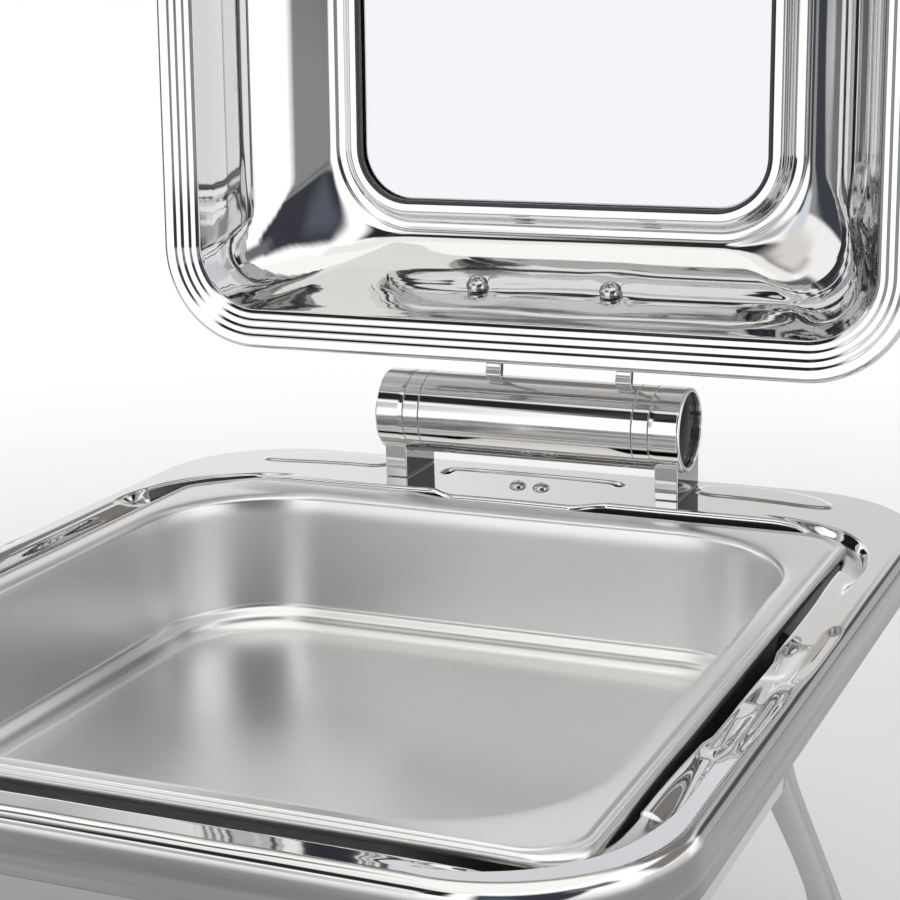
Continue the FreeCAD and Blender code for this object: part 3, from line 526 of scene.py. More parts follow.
CX, CYR, CYF = 116.0, 130.0, -124.7
NA, NS, NR = 110, 230, 210
cols = []       # (zone, parameter)
for t in np.linspace(CYF, CYR, NS, endpoint=False): cols.append(("side", 1, t))
for a in np.linspace(0, 90, NA, endpoint=False): cols.append(("arc", (CX, CYR, 1, 1), a))
for t in np.linspace(CX, -CX, NR, endpoint=False): cols.append(("end", 1, t))
for a in np.linspace(90, 0, NA, endpoint=False): cols.append(("arc", (-CX, CYR, -1, 1), a))
for t in np.linspace(CYR, CYF, NS, endpoint=False): cols.append(("side", -1, t))
for a in np.linspace(0, 90, NA, endpoint=False): cols.append(("arc", (-CX, CYF, -1, -1), a))
for t in np.linspace(-CX, CX, NR, endpoint=False): cols.append(("end", -1, t))
for a in np.linspace(90, 0, NA, endpoint=False): cols.append(("arc", (CX, CYF, 1, -1), a))
NCOL = len(cols)

def on_cols(curve):
    """point of a closed curve (dense) on every column ray; z is carried if given"""
    C = np.asarray(curve, float)
    if C.shape[1] == 2:
        C = np.column_stack([C, np.zeros(len(C))])
    # densify
    C2 = []
    for a, b in zip(C, np.roll(C, -1, 0)):
        k = max(1, int(math.ceil(np.linalg.norm(b[:2] - a[:2]) / 0.8)))
        for j in range(k):
            C2.append(a + (b - a) * j / k)
    C = np.array(C2)
    out = np.zeros((NCOL, 3))
    maps = {}
    for sx in (1, -1):
        m = (C[:, 0] * sx > 100) & (C[:, 1] > CYF - 12) & (C[:, 1] < CYR + 12)
        q = C[m]; q = q[np.argsort(q[:, 1])]
        maps[("side", sx)] = q
        m = (C[:, 1] * sx > 100) & (abs(C[:, 0]) < CX + 12)
        q = C[m]; q = q[np.argsort(q[:, 0])]
        maps[("end", sx)] = q
    for cx, cy, sx, sy in ((CX, CYR, 1, 1), (-CX, CYR, -1, 1), (-CX, CYF, -1, -1), (CX, CYF, 1, -1)):
        u, v = (C[:, 0] - cx) * sx, (C[:, 1] - cy) * sy
        m = (u > -14) & (v > -14) & (np.hypot(u, v) > 12)
        a = np.degrees(np.arctan2(v[m], u[m])); rr_ = np.hypot(u[m], v[m])
        o = np.argsort(a)
        maps[("arc", sx, sy)] = (a[o], rr_[o], C[m][o][:, 2])
    for i, (kind, who, t) in enumerate(cols):
        if kind == "side":
            q = maps[("side", who)]
            out[i] = (np.interp(t, q[:, 1], q[:, 0]), t, np.interp(t, q[:, 1], q[:, 2]))
        elif kind == "end":
            q = maps[("end", who)]
            out[i] = (t, np.interp(t, q[:, 0], q[:, 1]), np.interp(t, q[:, 0], q[:, 2]))
        else:
            cx, cy, sx, sy = who
            a, r_, z_ = maps[("arc", sx, sy)]
            r = np.interp(t, a, r_)
            out[i] = (cx + sx * r * math.cos(math.radians(t)), cy + sy * r * math.sin(math.radians(t)), np.interp(t, a, z_))
    return out

w1, w2, hh = on_cols(W1C), on_cols(W2C), on_cols(HC)
o0 = on_cols(ring_pts(192.0, -208.0, 252.0, 66.0))       # skirt
o3 = on_cols(ring_pts(186.4, -202.4, 246.4, 60.4))       # start of the flat top

# finger notches: the hole edge steps outwards between y = -80 and 22
def notch_amount(y):
    return sstep((y + 80.0) / 13.0) * sstep((22.0 - y) / 13.0)
def tongue_amount(x):
    return sstep((46.0 - abs(x)) / 17.0)
na = np.where(abs(hh[:, 0]) > 150, notch_amount(hh[:, 1]), 0.0)
for arr, k in ((hh, 1.2), (w2, 1.2), (w1, 1.2)):
    arr[:, 0] += np.sign(arr[:, 0]) * na * k
ta = np.where(hh[:, 1] > 150, tongue_amount(hh[:, 0]), 0.0)
for arr, k in ((hh, 10.0), (w2, 9.0), (w1, 7.0)):
    arr[:, 1] -= ta * k
# the left half of the rear edge lies a little nearer to the pan
for arr in (hh, w2, w1):
    arr[:, 1] -= np.where(arr[:, 1] > 120, 2.6 * sstep((-arr[:, 0] - 20.0) / 50.0) * sstep((arr[:, 1] - 150) / 30.0), 0.0)

def mix(a, b, t):
    return a + (b - a) * t
lf = sstep((-hh[:, 0] - 150.0) / 10.0) * sstep((hh[:, 1] + 60.0) / 50.0) * sstep((136.0 - hh[:, 1]) / 18.0)
hh[:, 0] += lf * 1.6; hh[:, 2] = mix(hh[:, 2], -4.2, lf)
w2[:, 0] += lf * 1.6; w2[:, 2] = mix(w2[:, 2], 0.1, lf)
op = sstep((-hh[:, 0] - 128.0) / 12.0) * sstep((hh[:, 1] - 134.0) / 10.0)
w2[:, :2] = mix(w2[:, :2], w1[:, :2] + (w2[:, :2] - w1[:, :2]) * 0.75, op[:, None])
hh[:, :2] = mix(hh[:, :2], w2[:, :2] + (hh[:, :2] - w2[:, :2]) * 0.16, op[:, None])
w2[:, 2] = mix(w2[:, 2], 0.7, op); hh[:, 2] = mix(hh[:, 2], 0.2, op)

# pressed details of the deck's top, heights in mm
OVAL_R = catmull([(84, 239), (100, 241.5), (118, 240.2), (134, 233.5), (143.5, 224.5), (144.5, 217.5), (136, 216.5), (118, 219.5), (100, 221.5), (86, 222), (79.5, 227), (79.0, 234)], 8, closed=True)
OVAL_L = OVAL_R * np.array([-1, 1]) + np.array([-4, 0])
SEAT = catmull([(-50, 222), (-49, 228.5), (-44, 230.6), (-20, 230.8), (0, 230.8), (25, 230.6), (36, 229.8), (40.5, 226.5)], 8)
def relief(x, y):
    z = np.zeros(x.shape)
    near = (y > 195) & (abs(x) < 165)
    if near.any():
        xx, yy = x[near], y[near]
        d = np.zeros(xx.shape)
        for poly in (OVAL_R, OVAL_L):
            dd = dist_poly(xx, yy, poly, True)
            sd = np.where(inside_poly(xx, yy, poly), dd, -dd)
            d += 0.9 * sstep((sd + 1.6) / 3.2)
        g = dist_poly(xx, yy, SEAT)
        d -= 2.3 * np.exp(-(g / 1.8) ** 2)
        z[near] += d
    return z

def scoop(x, y):
    """thumb scoops on both long sides: a shallow dish, two deeper cups on the
    inner edge and a narrow leaf-shaped dimple by the outer edge"""
    ax = abs(x)
    keep = sstep((ax - 171.4) / 3.4)
    z = -0.5 * sstep((46.0 - y) / 30.0) * sstep((y + 104.0) / 30.0) * sstep((188.5 - ax) / 12.0) * keep
    z += -1.25 * sstep((30.0 - y) / 13.0) * sstep((y + 14.0) / 12.0) * sstep((184.0 - ax) / 8.5) * keep
    z += -1.5 * sstep((-36.0 - y) / 13.0) * sstep((y + 92.0) / 16.0) * sstep((183.6 - ax) / 9.0) * keep
    z += -1.2 * np.exp(-((ax - 186.6) / 2.3) ** 2) * sstep((56.0 - y) / 14.0) * sstep((y + 16.0) / 34.0)
    z += -1.0 * np.exp(-((ax - 185.2) / 2.2) ** 2) * sstep((-20.0 - y) / 16.0) * sstep((y + 88.0) / 32.0)
    return z * (ax > 150)

rows3 = []
def add(xy, z):
    rows3.append(np.column_stack([xy[:, 0], xy[:, 1], np.broadcast_to(z, (NCOL,))]))

# skirt and outer fillet (elliptic), from the bottom up
for z in (-20.0, -19.6, -14.0, -9.0, -6.4):
    add(o0, z)
for k in range(9):
    a = k / 8 * math.pi / 2
    e = mix(o3, o0, math.cos(a))
    add(e, -5.4 + 6.4 * math.sin(a) ** 1.0)
n_top0 = len(rows3)
for t in np.concatenate([np.linspace(0, 0.27, 14)[1:], np.linspace(0.27, 0.42, 30)[1:], np.linspace(0.42, 1, 32)[1:]]):
    add(mix(o3, w1, t), 1.0)
for t in np.linspace(0, 1, 12)[1:]:
    add(mix(w1, w2, t), 1.0 + (w2[:, 2] - 1.0) * sstep(t))
r1 = hh.copy()
dv = w2[:, :2] - hh[:, :2]
L = np.linalg.norm(dv, axis=1, keepdims=True)
RE = 2.2 - 1.88 * op              # rounding of the inner edge
r1[:, :2] = hh[:, :2] + dv / L * np.minimum(RE, 0.8 * L[:, 0])[:, None]
r1z = hh[:, 2] + 1.4 - 1.1 * op
r1z = np.minimum(r1z, 1.0)
r1z = np.where(hh[:, 2] < -3.0, hh[:, 2] + 0.4, r1z)
for t in np.linspace(0, 1, 10)[1:]:
    add(mix(w2, r1, t), mix(w2[:, 2], r1z, sstep(t)))
for k in range(1, 8):
    a = k / 7 * math.pi / 2
    add(mix(r1, hh, math.sin(a)), mix(r1z - RE, r1z, math.cos(a)))
n_top1 = len(rows3)
def hem(z):
    """the turned-down hem is short at the rear left corner"""
    return mix(np.full(NCOL, z), r1z - RE + (z + 3.0) * 0.04, op)
add(hh, hem(-5.0)); add(hh, hem(-6.6)); add(hh, hem(-7.0))
hi = hh.copy(); hi[:, :2] += dv / L * np.minimum(1.1, 0.4 * L)
add(hi, hem(-7.0)); add(hi, mix(np.minimum(r1z - 2.0, -5.0), r1z - RE - 0.25, op))
u1 = hh.copy(); u1[:, :2] += dv / L * np.minimum(2.6, 0.8 * L)
add(u1, mix(np.minimum(r1z - 1.3, -0.3), r1z - RE - 0.2, op)); add(w2, w2[:, 2] - 1.2); add(mix(w2, w1, 0.5), 0.5 * (w2[:, 2] + 1.0) - 1.2); add(w1, -0.2)
add(mix(o3, w1, 0.5), -0.2); add(mix(o3, w1, 0.05), -0.2)
oi = on_cols(ring_pts(190.8, -206.8, 250.8, 64.8))
add(mix(o3, oi, 0.7), -1.8); add(oi, -5.6); add(oi, -20.0)
R3 = np.array(rows3)
T = R3[n_top0 - 3:n_top1]
T[..., 2] += relief(T[..., 0], T[..., 1])
T[..., 2] += scoop(T[..., 0], T[..., 1])
T[..., 2] += waves(T, 55.0, 0.05, 11) + waves(T, 140.0, 0.10, 12)
under = R3[n_top1 + 4:n_top1 + 10]
under[..., 2] += scoop(under[..., 0], under[..., 1])
deck = loft("deck_body", W(R3), M["deck_polished"], wrap=True)
# painted shade: the hem and underside faces take the near-black material
deck.data.materials.append(M["deck_under"])
for i in range(n_top1 - 1, n_top1 + 13):
    for j in range(NCOL):
        deck.data.polygons[i * NCOL + j].material_index = 1
fix_normals(deck)
finish_piece(deck, "deck", "polished_steel", "deck_frame")

# ------------------------------------------------------------------ lid
def lrow(o, z, oy=None, r=None):
    x = 188.0 - o
    y = 189.0 - (o if oy is None else oy)
    return (x, y, max(50.0 - o, 8.0) if r is None else r, z)

WALLC = catmull([(0.0, 0.6), (0.03, 6.0), (0.07, 12.4), (0.14, 20.8), (0.26, 31.6), (0.43, 42.0), (0.60, 49.4), (0.78, 55.4), (0.91, 58.9), (1.0, 60.2)], 4)
lid_i = [lrow(0.55, 4.2), lrow(0.75, 2.4), lrow(2.0, 1.8), lrow(6.2, 1.9), lrow(7.9, 2.74), lrow(9.7, 2.74), lrow(11.4, 3.58), lrow(13.6, 3.58),
         lrow(15.2, 4.36), lrow(17.2, 4.34), lrow(18.7, 5.06), lrow(19.2, 5.35)]
li_rad = [0.3, 0.7, 0.9, 0.5, 0.5, 0.45, 0.45, 0.45, 0.4, 0.4, 0.3, 0.3]
for tt, d in WALLC:
    lid_i.append(lrow(19.5 + 46.5 * tt, 6.0 + d, 19.5 + 34.5 * tt, 30.5 + 12.0 * tt)); li_rad.append(1.0)
lid_i += [(121.0, 134.4, 41.5, 67.0), (118.2, 131.6, 38.7, 67.6), (115.2, 128.6, 35.7, 66.9), (114.0, 127.5, 34.5, 65.0), (112.6, 126.1, 33.1, 61.0), (111.2, 124.7, 31.7, 60.0), (105.6, 119.1, 26.1, 60.0)]
li_rad += [0.9, 1.6, 1.2, 1.0, 1.0, 1.0, 0.3]
rin = soften(lid_i, li_rad, seg=4, closed=False, step=6.0)

def offset_rows(rows, t):
    """outer skin: every row moved along the profile normal by the sheet's gauge"""
    P = rows.copy(); n = len(P)
    out = []
    for i in range(n):
        a, b = P[max(i - 1, 0)], P[min(i + 1, n - 1)]
        tx, tz = b[0] - a[0], b[3] - a[3]
        L = math.hypot(tx, tz) + 1e-9
        nx, nz = tz / L, -tx / L          # to the right of travel: outwards and up
        out.append((P[i][0] + nx * t, P[i][1] + nx * t, max(P[i][2] + nx * t, 1.0), P[i][3] + nz * t))
    return np.array(out)
rout = offset_rows(rin, 0.95)
rout = rout[(rout[:, 0] < 187.7)]
# the hem at the rim is folded back on itself
hem = [lrow(0.35, 4.4), lrow(0.9, 5.2), lrow(2.6, 5.4), lrow(4.3, 5.3)]
rowsL = list(rin) + list(rout[::-1])
# drop outer rows that would cross the folded hem
rowsL = [r for i, r in enumerate(rowsL) if i < len(rin) or 188.0 - r[0] > 4.9]
rowsL += hem[::-1]
rowsL = np.array(rowsL)
G = rings_of(rowsL, 70, 72, 34)
nrm = vert_normals(G, True)
mid = sstep((G[..., 2] - 8.0) / 14.0) * sstep((66.5 - G[..., 2]) / 6.0)
rear = sstep((G[..., 1] - 118.0) / 20.0)
calm = 1.0 - 0.75 * sstep((abs(G[..., 0]) - 96.0) / 34.0) * sstep((G[..., 1] - 96.0) / 34.0)
dent = calm * (waves(G, 95.0, 0.11, 21) + rear * (waves(G, 70.0, 0.05, 24) + waves(G, 26.0, 0.008, 22)))
# pulled-in dimples round the two arm screws and a soft wave under the window
for sx in (-34.4, 34.4):
    d2 = np.hypot(G[..., 0] - sx, (G[..., 2] - 41.4) * 1.2)
    near = (G[..., 1] > 120)
    dent += near * (-0.22 * np.exp(-(d2 / 7.0) ** 2) + 0.10 * np.exp(-((d2 - 12.0) / 5.0) ** 2))
# a faint crease runs along the wall at the height of the screws
cz = G[..., 2] - 42.0 - 1.3 * np.sin(G[..., 0] / 41.0) + 0.010 * np.maximum(G[..., 0], 0) - 0.6 * np.sin(G[..., 0] / 17.0 + 1.0)
dent += rear * sstep((150.0 - abs(G[..., 0] + 4.0)) / 16.0) * sstep((G[..., 0] + 75.0) / 40.0) * 0.16 * np.tanh(cz / 1.1)
G = G + nrm * (dent * mid + waves(G, 120.0, 0.03, 23))[..., None]
lid = loft("lid_body", W(turn_open(G)), M["polished_steel"], wrap=True)
fix_normals(lid)
finish_piece(lid, "lid", "polished_steel", "lid_shell")

def wrow(x, z):
    return (x, x + 13.5, x - 79.5, z)
def lid_ring(name, rows, rad, mat, slot, node, wrap=True, cap=(False, False), wob=0.0, nc=28):
    R = soften([wrow(*r) for r in rows], rad, seg=4, closed=wrap, step=9.0)
    G = rings_of(R, 50, 56, nc)
    if wob:
        ax = np.hypot(G[..., 0], 0)
        w = waves(G, 60.0, wob, 31)
        c = G[..., :2] / np.maximum(1.0, np.linalg.norm(G[..., :2], axis=-1, keepdims=True))
        inner = np.exp(-((np.maximum(abs(G[..., 0]), abs(G[..., 1]) - 13.5) - 103.0) / 2.0) ** 2)
        G[..., :2] += c * (w * inner)[..., None]
    ob = loft(name, W(turn_open(G)), mat, wrap=wrap, cap=cap)
    fix_normals(ob)
    finish_piece(ob, "lid", slot, node)
    return ob
g0 = 6.0
lid_ring("window_pane", [(60.0, g0 + 57.1), (109.6, g0 + 57.1), (109.8, g0 + 57.3), (109.8, g0 + 59.4), (109.6, g0 + 59.7), (60.0, g0 + 59.7)], [0, .15, .15, .15, .15, 0],
         M["window_glass"], "window_glass", "window_glass", wrap=False, cap=(True, True))
lid_ring("window_seal", [(105.3, g0 + 53.6), (105.8, g0 + 52.9), (106.8, g0 + 52.8), (107.4, g0 + 53.4), (107.4, g0 + 53.9), (106.6, g0 + 53.9), (106.6, g0 + 54.95), (110.7, g0 + 54.95),
                         (110.7, g0 + 58.3), (110.0, g0 + 58.3), (110.0, g0 + 56.9), (105.3, g0 + 56.9)], [.45, .4, .4, .3, .1, .1, .1, .2, .2, .2, .1, .3],
         M["gasket_rubber"], "gasket_rubber", "window_gasket", wob=0.16)
lid_ring("window_frame_outer", [(104.2, g0 + 59.8), (110.8, g0 + 59.8), (111.8, g0 + 59.4), (112.6, g0 + 60.5), (111.6, g0 + 61.2), (107.0, g0 + 61.5), (104.4, g0 + 61.0)], [.2, .3, .3, .5, .5, .8, .3],
         M["polished_steel"], "polished_steel", "window_trim")

# ------------------------------------------------------------------ hinge barrel
AX = (1.0, 0.0, 0.0)
HB = (0.0, HINGE_Y, HINGE_Z)
def arc_prof(s0, r0, s1, r1, k=6, convex=True):
    """quarter of a small round from (s0, r0) to (s1, r1)"""
    out = []
    for j in range(k + 1):
        a = j / k * math.pi / 2
        if convex:
            out.append((s0 + (s1 - s0) * math.sin(a), r0 + (r1 - r0) * (1 - math.cos(a))))
        else:
            out.append((s0 + (s1 - s0) * (1 - math.cos(a)), r0 + (r1 - r0) * math.sin(a)))
    return out
def tube(name, x0, x1, R, Rin, e, mat, slot, body, node, n=192):
    prof = [(x0, Rin), (x0, R - e * 2)] + arc_prof(x0, R - e, x0 + e, R, 5, False) + [(x0 + e * 2, R)]
    k = max(2, int((x1 - x0) // 8))
    prof += [(x0 + e * 2 + (x1 - x0 - 4 * e) * j / k, R) for j in range(1, k)]
    prof += [(x1 - e * 2, R)] + arc_prof(x1 - e, R, x1, R - e, 5, True) + [(x1, R - e * 2), (x1, Rin)]
    ob = lathe(name, prof, HB, AX, mat, n)
    finish_piece(ob, body, slot, node)
    return ob
tube("barrel_sleeve", -54.4, 54.4, 20.3, 17.6, 0.28, M["barrel_steel"], "barrel_steel", "lid", "hinge_sleeve")
for s_, tag in ((-1, "left"), (1, "right")):
    a_, b_ = sorted((s_ * 54.7, s_ * 62.6))
    tube("barrel_collar_" + tag, a_, b_, 20.3, 17.0, 0.24, M["barrel_steel"], "barrel_steel", "deck", "barrel_ring_" + tag)
    prof = [(62.9, 6.1), (62.9, 19.8)] + arc_prof(62.9, 20.06, 63.14, 20.3, 4, False) + [(66.0, 20.3), (70.0, 20.3), (74.5, 20.3), (76.1, 20.3)]
    prof += arc_prof(76.4, 20.3, 77.7, 18.95, 7, True) + [(77.85, 18.6), (77.75, 18.15), (77.3, 17.95), (76.9, 17.9), (75.2, 17.85), (73.5, 17.8), (73.5, 6.1)]
    prof = [(s_ * q, r) for q, r in prof]
    ob = lathe("barrel_cap_" + tag, prof, HB, AX, M["barrel_steel"], 192)
    finish_piece(ob, "deck", "barrel_steel", "end_cap_" + tag)
    prof = [(73.45, 0.0), (73.45, 17.6), (74.5, 17.6), (74.9, 17.45), (75.1, 17.1), (75.2, 16.4), (75.2, 15.4), (74.95, 15.0), (74.9, 14.4), (75.05, 13.0), (75.25, 9.0), (75.35, 4.0), (75.4, 0.0)]
    prof = [(s_ * q, r) for q, r in prof]
    ob = lathe("cap_disc_" + tag, prof, HB, AX, M["black_plastic"], 128)
    finish_piece(ob, "deck", "black_plastic", "end_plug_" + tag)

# ------------------------------------------------------------------ extruded pieces with soft edges
def extrude_x(name, poly, x0, x1, mat, bevel=0.5, seg=3, lidpart=False):
    """poly (y, z) in mm extruded between x0 and x1, every sharp edge rounded"""
    bm = bmesh.new()
    P = [np.array([x0, y, z]) for y, z in poly]
    if lidpart:
        P0 = [turn_open(p) for p in P]; P1 = [turn_open(p + np.array([x1 - x0, 0, 0])) for p in P]
    else:
        P0 = P; P1 = [p + np.array([x1 - x0, 0, 0]) for p in P]
    v0 = [bm.verts.new(tuple(W(p))) for p in P0]
    v1 = [bm.verts.new(tuple(W(p))) for p in P1]
    n = len(poly)
    bm.faces.new(v0); bm.faces.new(v1[::-1])
    for i in range(n):
        j = (i + 1) % n
        bm.faces.new((v0[j], v0[i], v1[i], v1[j]))
    bmesh.ops.recalc_face_normals(bm, faces=bm.faces)
    sharp = [e for e in bm.edges if len(e.link_faces) == 2 and e.calc_face_angle(0) > math.radians(28)]
    if bevel:
        bmesh.ops.bevel(bm, geom=sharp, offset=bevel * MM, offset_type="OFFSET", segments=seg, profile=0.5, affect="EDGES", clamp_overlap=True)
    me = bpy.data.meshes.new(name); bm.to_mesh(me); bm.free()
    ob = bpy.data.objects.new(name, me); bpy.context.scene.collection.objects.link(ob)
    me.materials.append(mat)
    me.polygons.foreach_set("use_smooth", [True] * len(me.polygons))
    m = ob.modifiers.new("wn", "WEIGHTED_NORMAL"); m.keep_sharp = False; m.weight = 80
    return ob

def saddle(y0, y1, z0, R=20.3, k=24):
    """bracket side view: foot, two sides and the round seat under the barrel"""
    pts = [(y0, z0), (y1, z0)]
    zz = lambda y: HINGE_Z - math.sqrt(max(R * R - (y - HINGE_Y) ** 2, 0.0))
    ys = np.linspace(min(y1, HINGE_Y + R - 0.6), max(y0, HINGE_Y - R + 0.6), k)
    top = [(y, zz(y)) for y in ys]
    if y1 > top[0][0] + 0.01:
        pts.append((y1, top[0][1]))
    pts += top
    if y0 < top[-1][0] - 0.01:
        pts.append((y0, top[-1][1]))
    return pts
for s_, tag in ((-1, "left"), (1, "right")):
    a_, b_ = sorted((s_ * 64.0, s_ * 75.5))
    ob = extrude_x("hinge_foot_" + tag, saddle(206.5, 241.0, 1.02), a_, b_, M["polished_steel"], 0.7, 3)
    finish_piece(ob, "deck", "polished_steel", "hinge_bracket_" + tag)

arm_poly = catmull([(161.15, 37.43), (163.0, 38.65), (164.5, 39.6), (164.35, 43.0), (165.2, 46.4), (169.0, 49.4), (178.0, 55.0), (186.0, 59.2), (194.0, 61.2), (200.0, 61.6), (204.6, 60.2), (207.6, 57.0), (208.7, 52.6), (209.2, 49.0)], 2)
arm_back = catmull([(213.8, 50.5), (213.4, 55.4), (212.3, 60.4), (209.6, 63.8), (205.6, 65.6), (200.0, 66.2), (193.0, 65.7), (184.0, 63.0), (176.0, 59.6), (166.0, 55.3), (158.6, 52.2), (156.7, 51.3), (153.4, 49.1)], 2)
arm_poly = [tuple(q) for q in arm_poly] + [tuple(q) for q in arm_back]
for s_, tag in ((-1, "left"), (1, "right")):
    a_, b_ = sorted((s_ * 30.4, s_ * 38.4))
    ob = extrude_x("lid_lever_" + tag, arm_poly, a_, b_, M["polished_steel"], 0.6, 3, lidpart=True)
    finish_piece(ob, "lid", "polished_steel", "lid_arm_" + tag)

# ------------------------------------------------------------------ screws
def lathe_recess(name, prof, base, axis, mat, slots, n=96, lidpart=False, rot=0.0):
    """turned head with a pressed recess: slots(u, v) gives the recess depth"""
    a = np.array(axis, float); a /= np.linalg.norm(a)
    u = np.cross(a, [0.0, 1.0, 0.0])
    if np.linalg.norm(u) < 0.2: u = np.cross(a, [1.0, 0, 0])
    u /= np.linalg.norm(u); v = np.cross(a, u)
    b = np.array(base, float)
    prof = np.asarray(prof, float)
    rows = []
    th = np.linspace(0, 2 * math.pi, n, endpoint=False) + rot
    for s0, r in prof:
        cu, cv = r * np.cos(th), r * np.sin(th)
        dep = slots(cu, cv) if s0 > prof[0][0] + 1e-6 else np.zeros(n)
        P = b + np.outer(s0 - dep, a) + np.outer(cu, u) + np.outer(cv, v)
        rows.append(P)
    G = np.array(rows)
    if lidpart: G = turn_open(G)
    ob = loft(name, W(G), mat, wrap=False, cap=(True, True))
    fix_normals(ob)
    return ob
def dense(prof, step=0.12):
    out = [prof[0]]
    for a_, b_ in zip(prof[:-1], prof[1:]):
        k = max(1, int(math.ceil(math.hypot(b_[0] - a_[0], b_[1] - a_[1]) / step)))
        out += [(a_[0] + (b_[0] - a_[0]) * j / k, a_[1] + (b_[1] - a_[1]) * j / k) for j in range(1, k + 1)]
    return out
def cross_slot(u, v):
    r = np.hypot(u, v)
    arm = np.minimum(np.maximum(abs(u) * 1.0, 0) * 0 + abs(v), abs(u))
    w = 0.42 * (1.15 - 0.25 * r / 2.4)
    inside = sstep((w + 0.12 - arm) / 0.24) * sstep((2.45 - r) / 0.35)
    core = sstep((1.0 - r) / 0.3)
    return 0.95 * np.maximum(inside, core) * (1.0 - 0.25 * r / 2.4)
def pan_head():
    out = [(0.0, 4.2)] + [(0.55 + 0.0, 4.2)]
    for j in range(1, 15):
        a = j / 14 * math.pi / 2
        out.append((0.55 + 1.75 * math.sin(a), 1.2 + 3.0 * math.cos(a)))
    out += [(2.36, 0.6), (2.38, 0.02)]
    return dense(out)
scr = []
for i, (x, y) in enumerate(((-6.05, 209.2), (6.05, 209.2))):
    ob = lathe_recess("deck_screw_%d" % i, pan_head(), (x, y, 1.05), (0, 0, 1), M["fastener_steel"], cross_slot, 120, rot=0.4 + i * 0.5)
    scr.append(ob)
shank = []
for i, (x, y) in enumerate(((-6.05, 209.2), (6.05, 209.2))):
    pr = [(0.0, 0.0), (0.0, 1.5), (0.5, 2.0)]
    z = 0.5
    while z < 10.6:
        pr += [(z + 0.1, 2.0), (z + 0.35, 1.65), (z + 0.6, 2.0)]; z += 0.7
    pr += [(11.4, 2.0), (11.4, 0.0)]
    ob = lathe("deck_screw_shank_%d" % i, pr, (x, y, -10.45), (0, 0, 1), M["fastener_steel"], 32)
    shank.append(ob)
bm = bmesh.new()
for ob in scr + shank:
    bm.from_mesh(ob.data)
me = bpy.data.meshes.new("deck_screw_pair"); bm.to_mesh(me); bm.free()
pair = bpy.data.objects.new("deck_screw_pair", me); bpy.context.scene.collection.objects.link(pair)
me.materials.append(M["fastener_steel"]); me.polygons.foreach_set("use_smooth", [True] * len(me.polygons))
for ob in scr + shank:
    bpy.data.objects.remove(ob, do_unlink=True)
finish_piece(pair, "deck", "fastener_steel", "deck_screws")

def hex_slot(size, depth):
    def f(u, v):
        d = np.zeros(u.shape) - 1e9
        for k in range(3):
            a = math.radians(60 * k + 30)
            d = np.maximum(d, abs(u * math.cos(a) + v * math.sin(a)))
        return depth * sstep((size + 0.08 - d) / 0.16)
    return f
def dome_head(R, H):
    out = [(0.0, R - 0.15), (0.12, R)]
    for j in range(1, 15):
        a = j / 14 * math.pi / 2
        out.append((0.12 + (H - 0.12) * math.sin(a), R * 0.12 + R * 0.88 * math.cos(a)))
    out += [(H + 0.01, 0.02)]
    return dense(out)
WN_ = np.array([0.0, 0.833, 0.554]); WP_ = np.array([0.0, 157.26, 41.42])
FN_ = np.array([0.0, -0.833, 0.554]); FP_ = np.array([0.0, -157.26, 41.42])
def joined(name, obs, mat, body, slot, *nodes):
    bm = bmesh.new()
    for ob in obs: bm.from_mesh(ob.data)
    me = bpy.data.meshes.new(name); bm.to_mesh(me); bm.free()
    o = bpy.data.objects.new(name, me); bpy.context.scene.collection.objects.link(o)
    me.materials.append(mat); me.polygons.foreach_set("use_smooth", [True] * len(me.polygons))
    for ob in obs: bpy.data.objects.remove(ob, do_unlink=True)
    finish_piece(o, body, slot, *nodes)
    return o
def lathe_lid(name, prof, base, axis, mat, n=48):
    ob = lathe(name, prof, base, axis, mat, n)
    P = np.array([v.co for v in ob.data.vertices]) / MM - SHIFT
    P = W(turn_open(P))
    ob.data.vertices.foreach_set("co", P.reshape(-1)); ob.data.update()
    return ob
obs = []
for i, sx in enumerate((-34.4, 34.4)):
    b_ = WP_ + np.array([sx, 0, 0]) - WN_ * 0.02
    obs.append(lathe_recess("t", dome_head(5.4, 3.9), b_, -WN_, M["fastener_steel"], hex_slot(1.9, 2.2), 120, lidpart=True, rot=0.3 + i * 0.2))
    obs.append(lathe_lid("t", [(0.0, 0.0), (0.0, 1.96), (5.0, 1.96), (5.0, 0.0)], b_ + WN_ * 0.05, WN_, M["fastener_steel"], 32))
joined("arm_screw_pair", obs, M["fastener_steel"], "lid", "fastener_steel", "arm_screws")
obs = []; obw = []
for sx in (-52.0, 52.0):
    b_ = FP_ + np.array([sx, 0, 0])
    obw.append(lathe_lid("t", [(0.02, 2.55), (0.02, 5.85), (0.3, 6.0), (0.5, 5.9), (0.6, 5.6), (0.6, 2.55)], b_, -FN_, M["fastener_steel"], 96))
    obs.append(lathe_recess("t", dome_head(4.5, 3.0), b_ - FN_ * 0.6, -FN_, M["fastener_steel"], hex_slot(1.5, 1.8), 96, lidpart=True))
    obs.append(lathe_lid("t", [(0.0, 0.0), (0.0, 2.45), (13.0, 2.45), (13.0, 0.0)], b_ - FN_ * 0.58, FN_, M["fastener_steel"], 32))
joined("handle_screw_pair", obs, M["fastener_steel"], "lid", "fastener_steel", "handle_screws")
joined("handle_washer_pair", obw, M["fastener_steel"], "lid", "fastener_steel", "handle_washers")

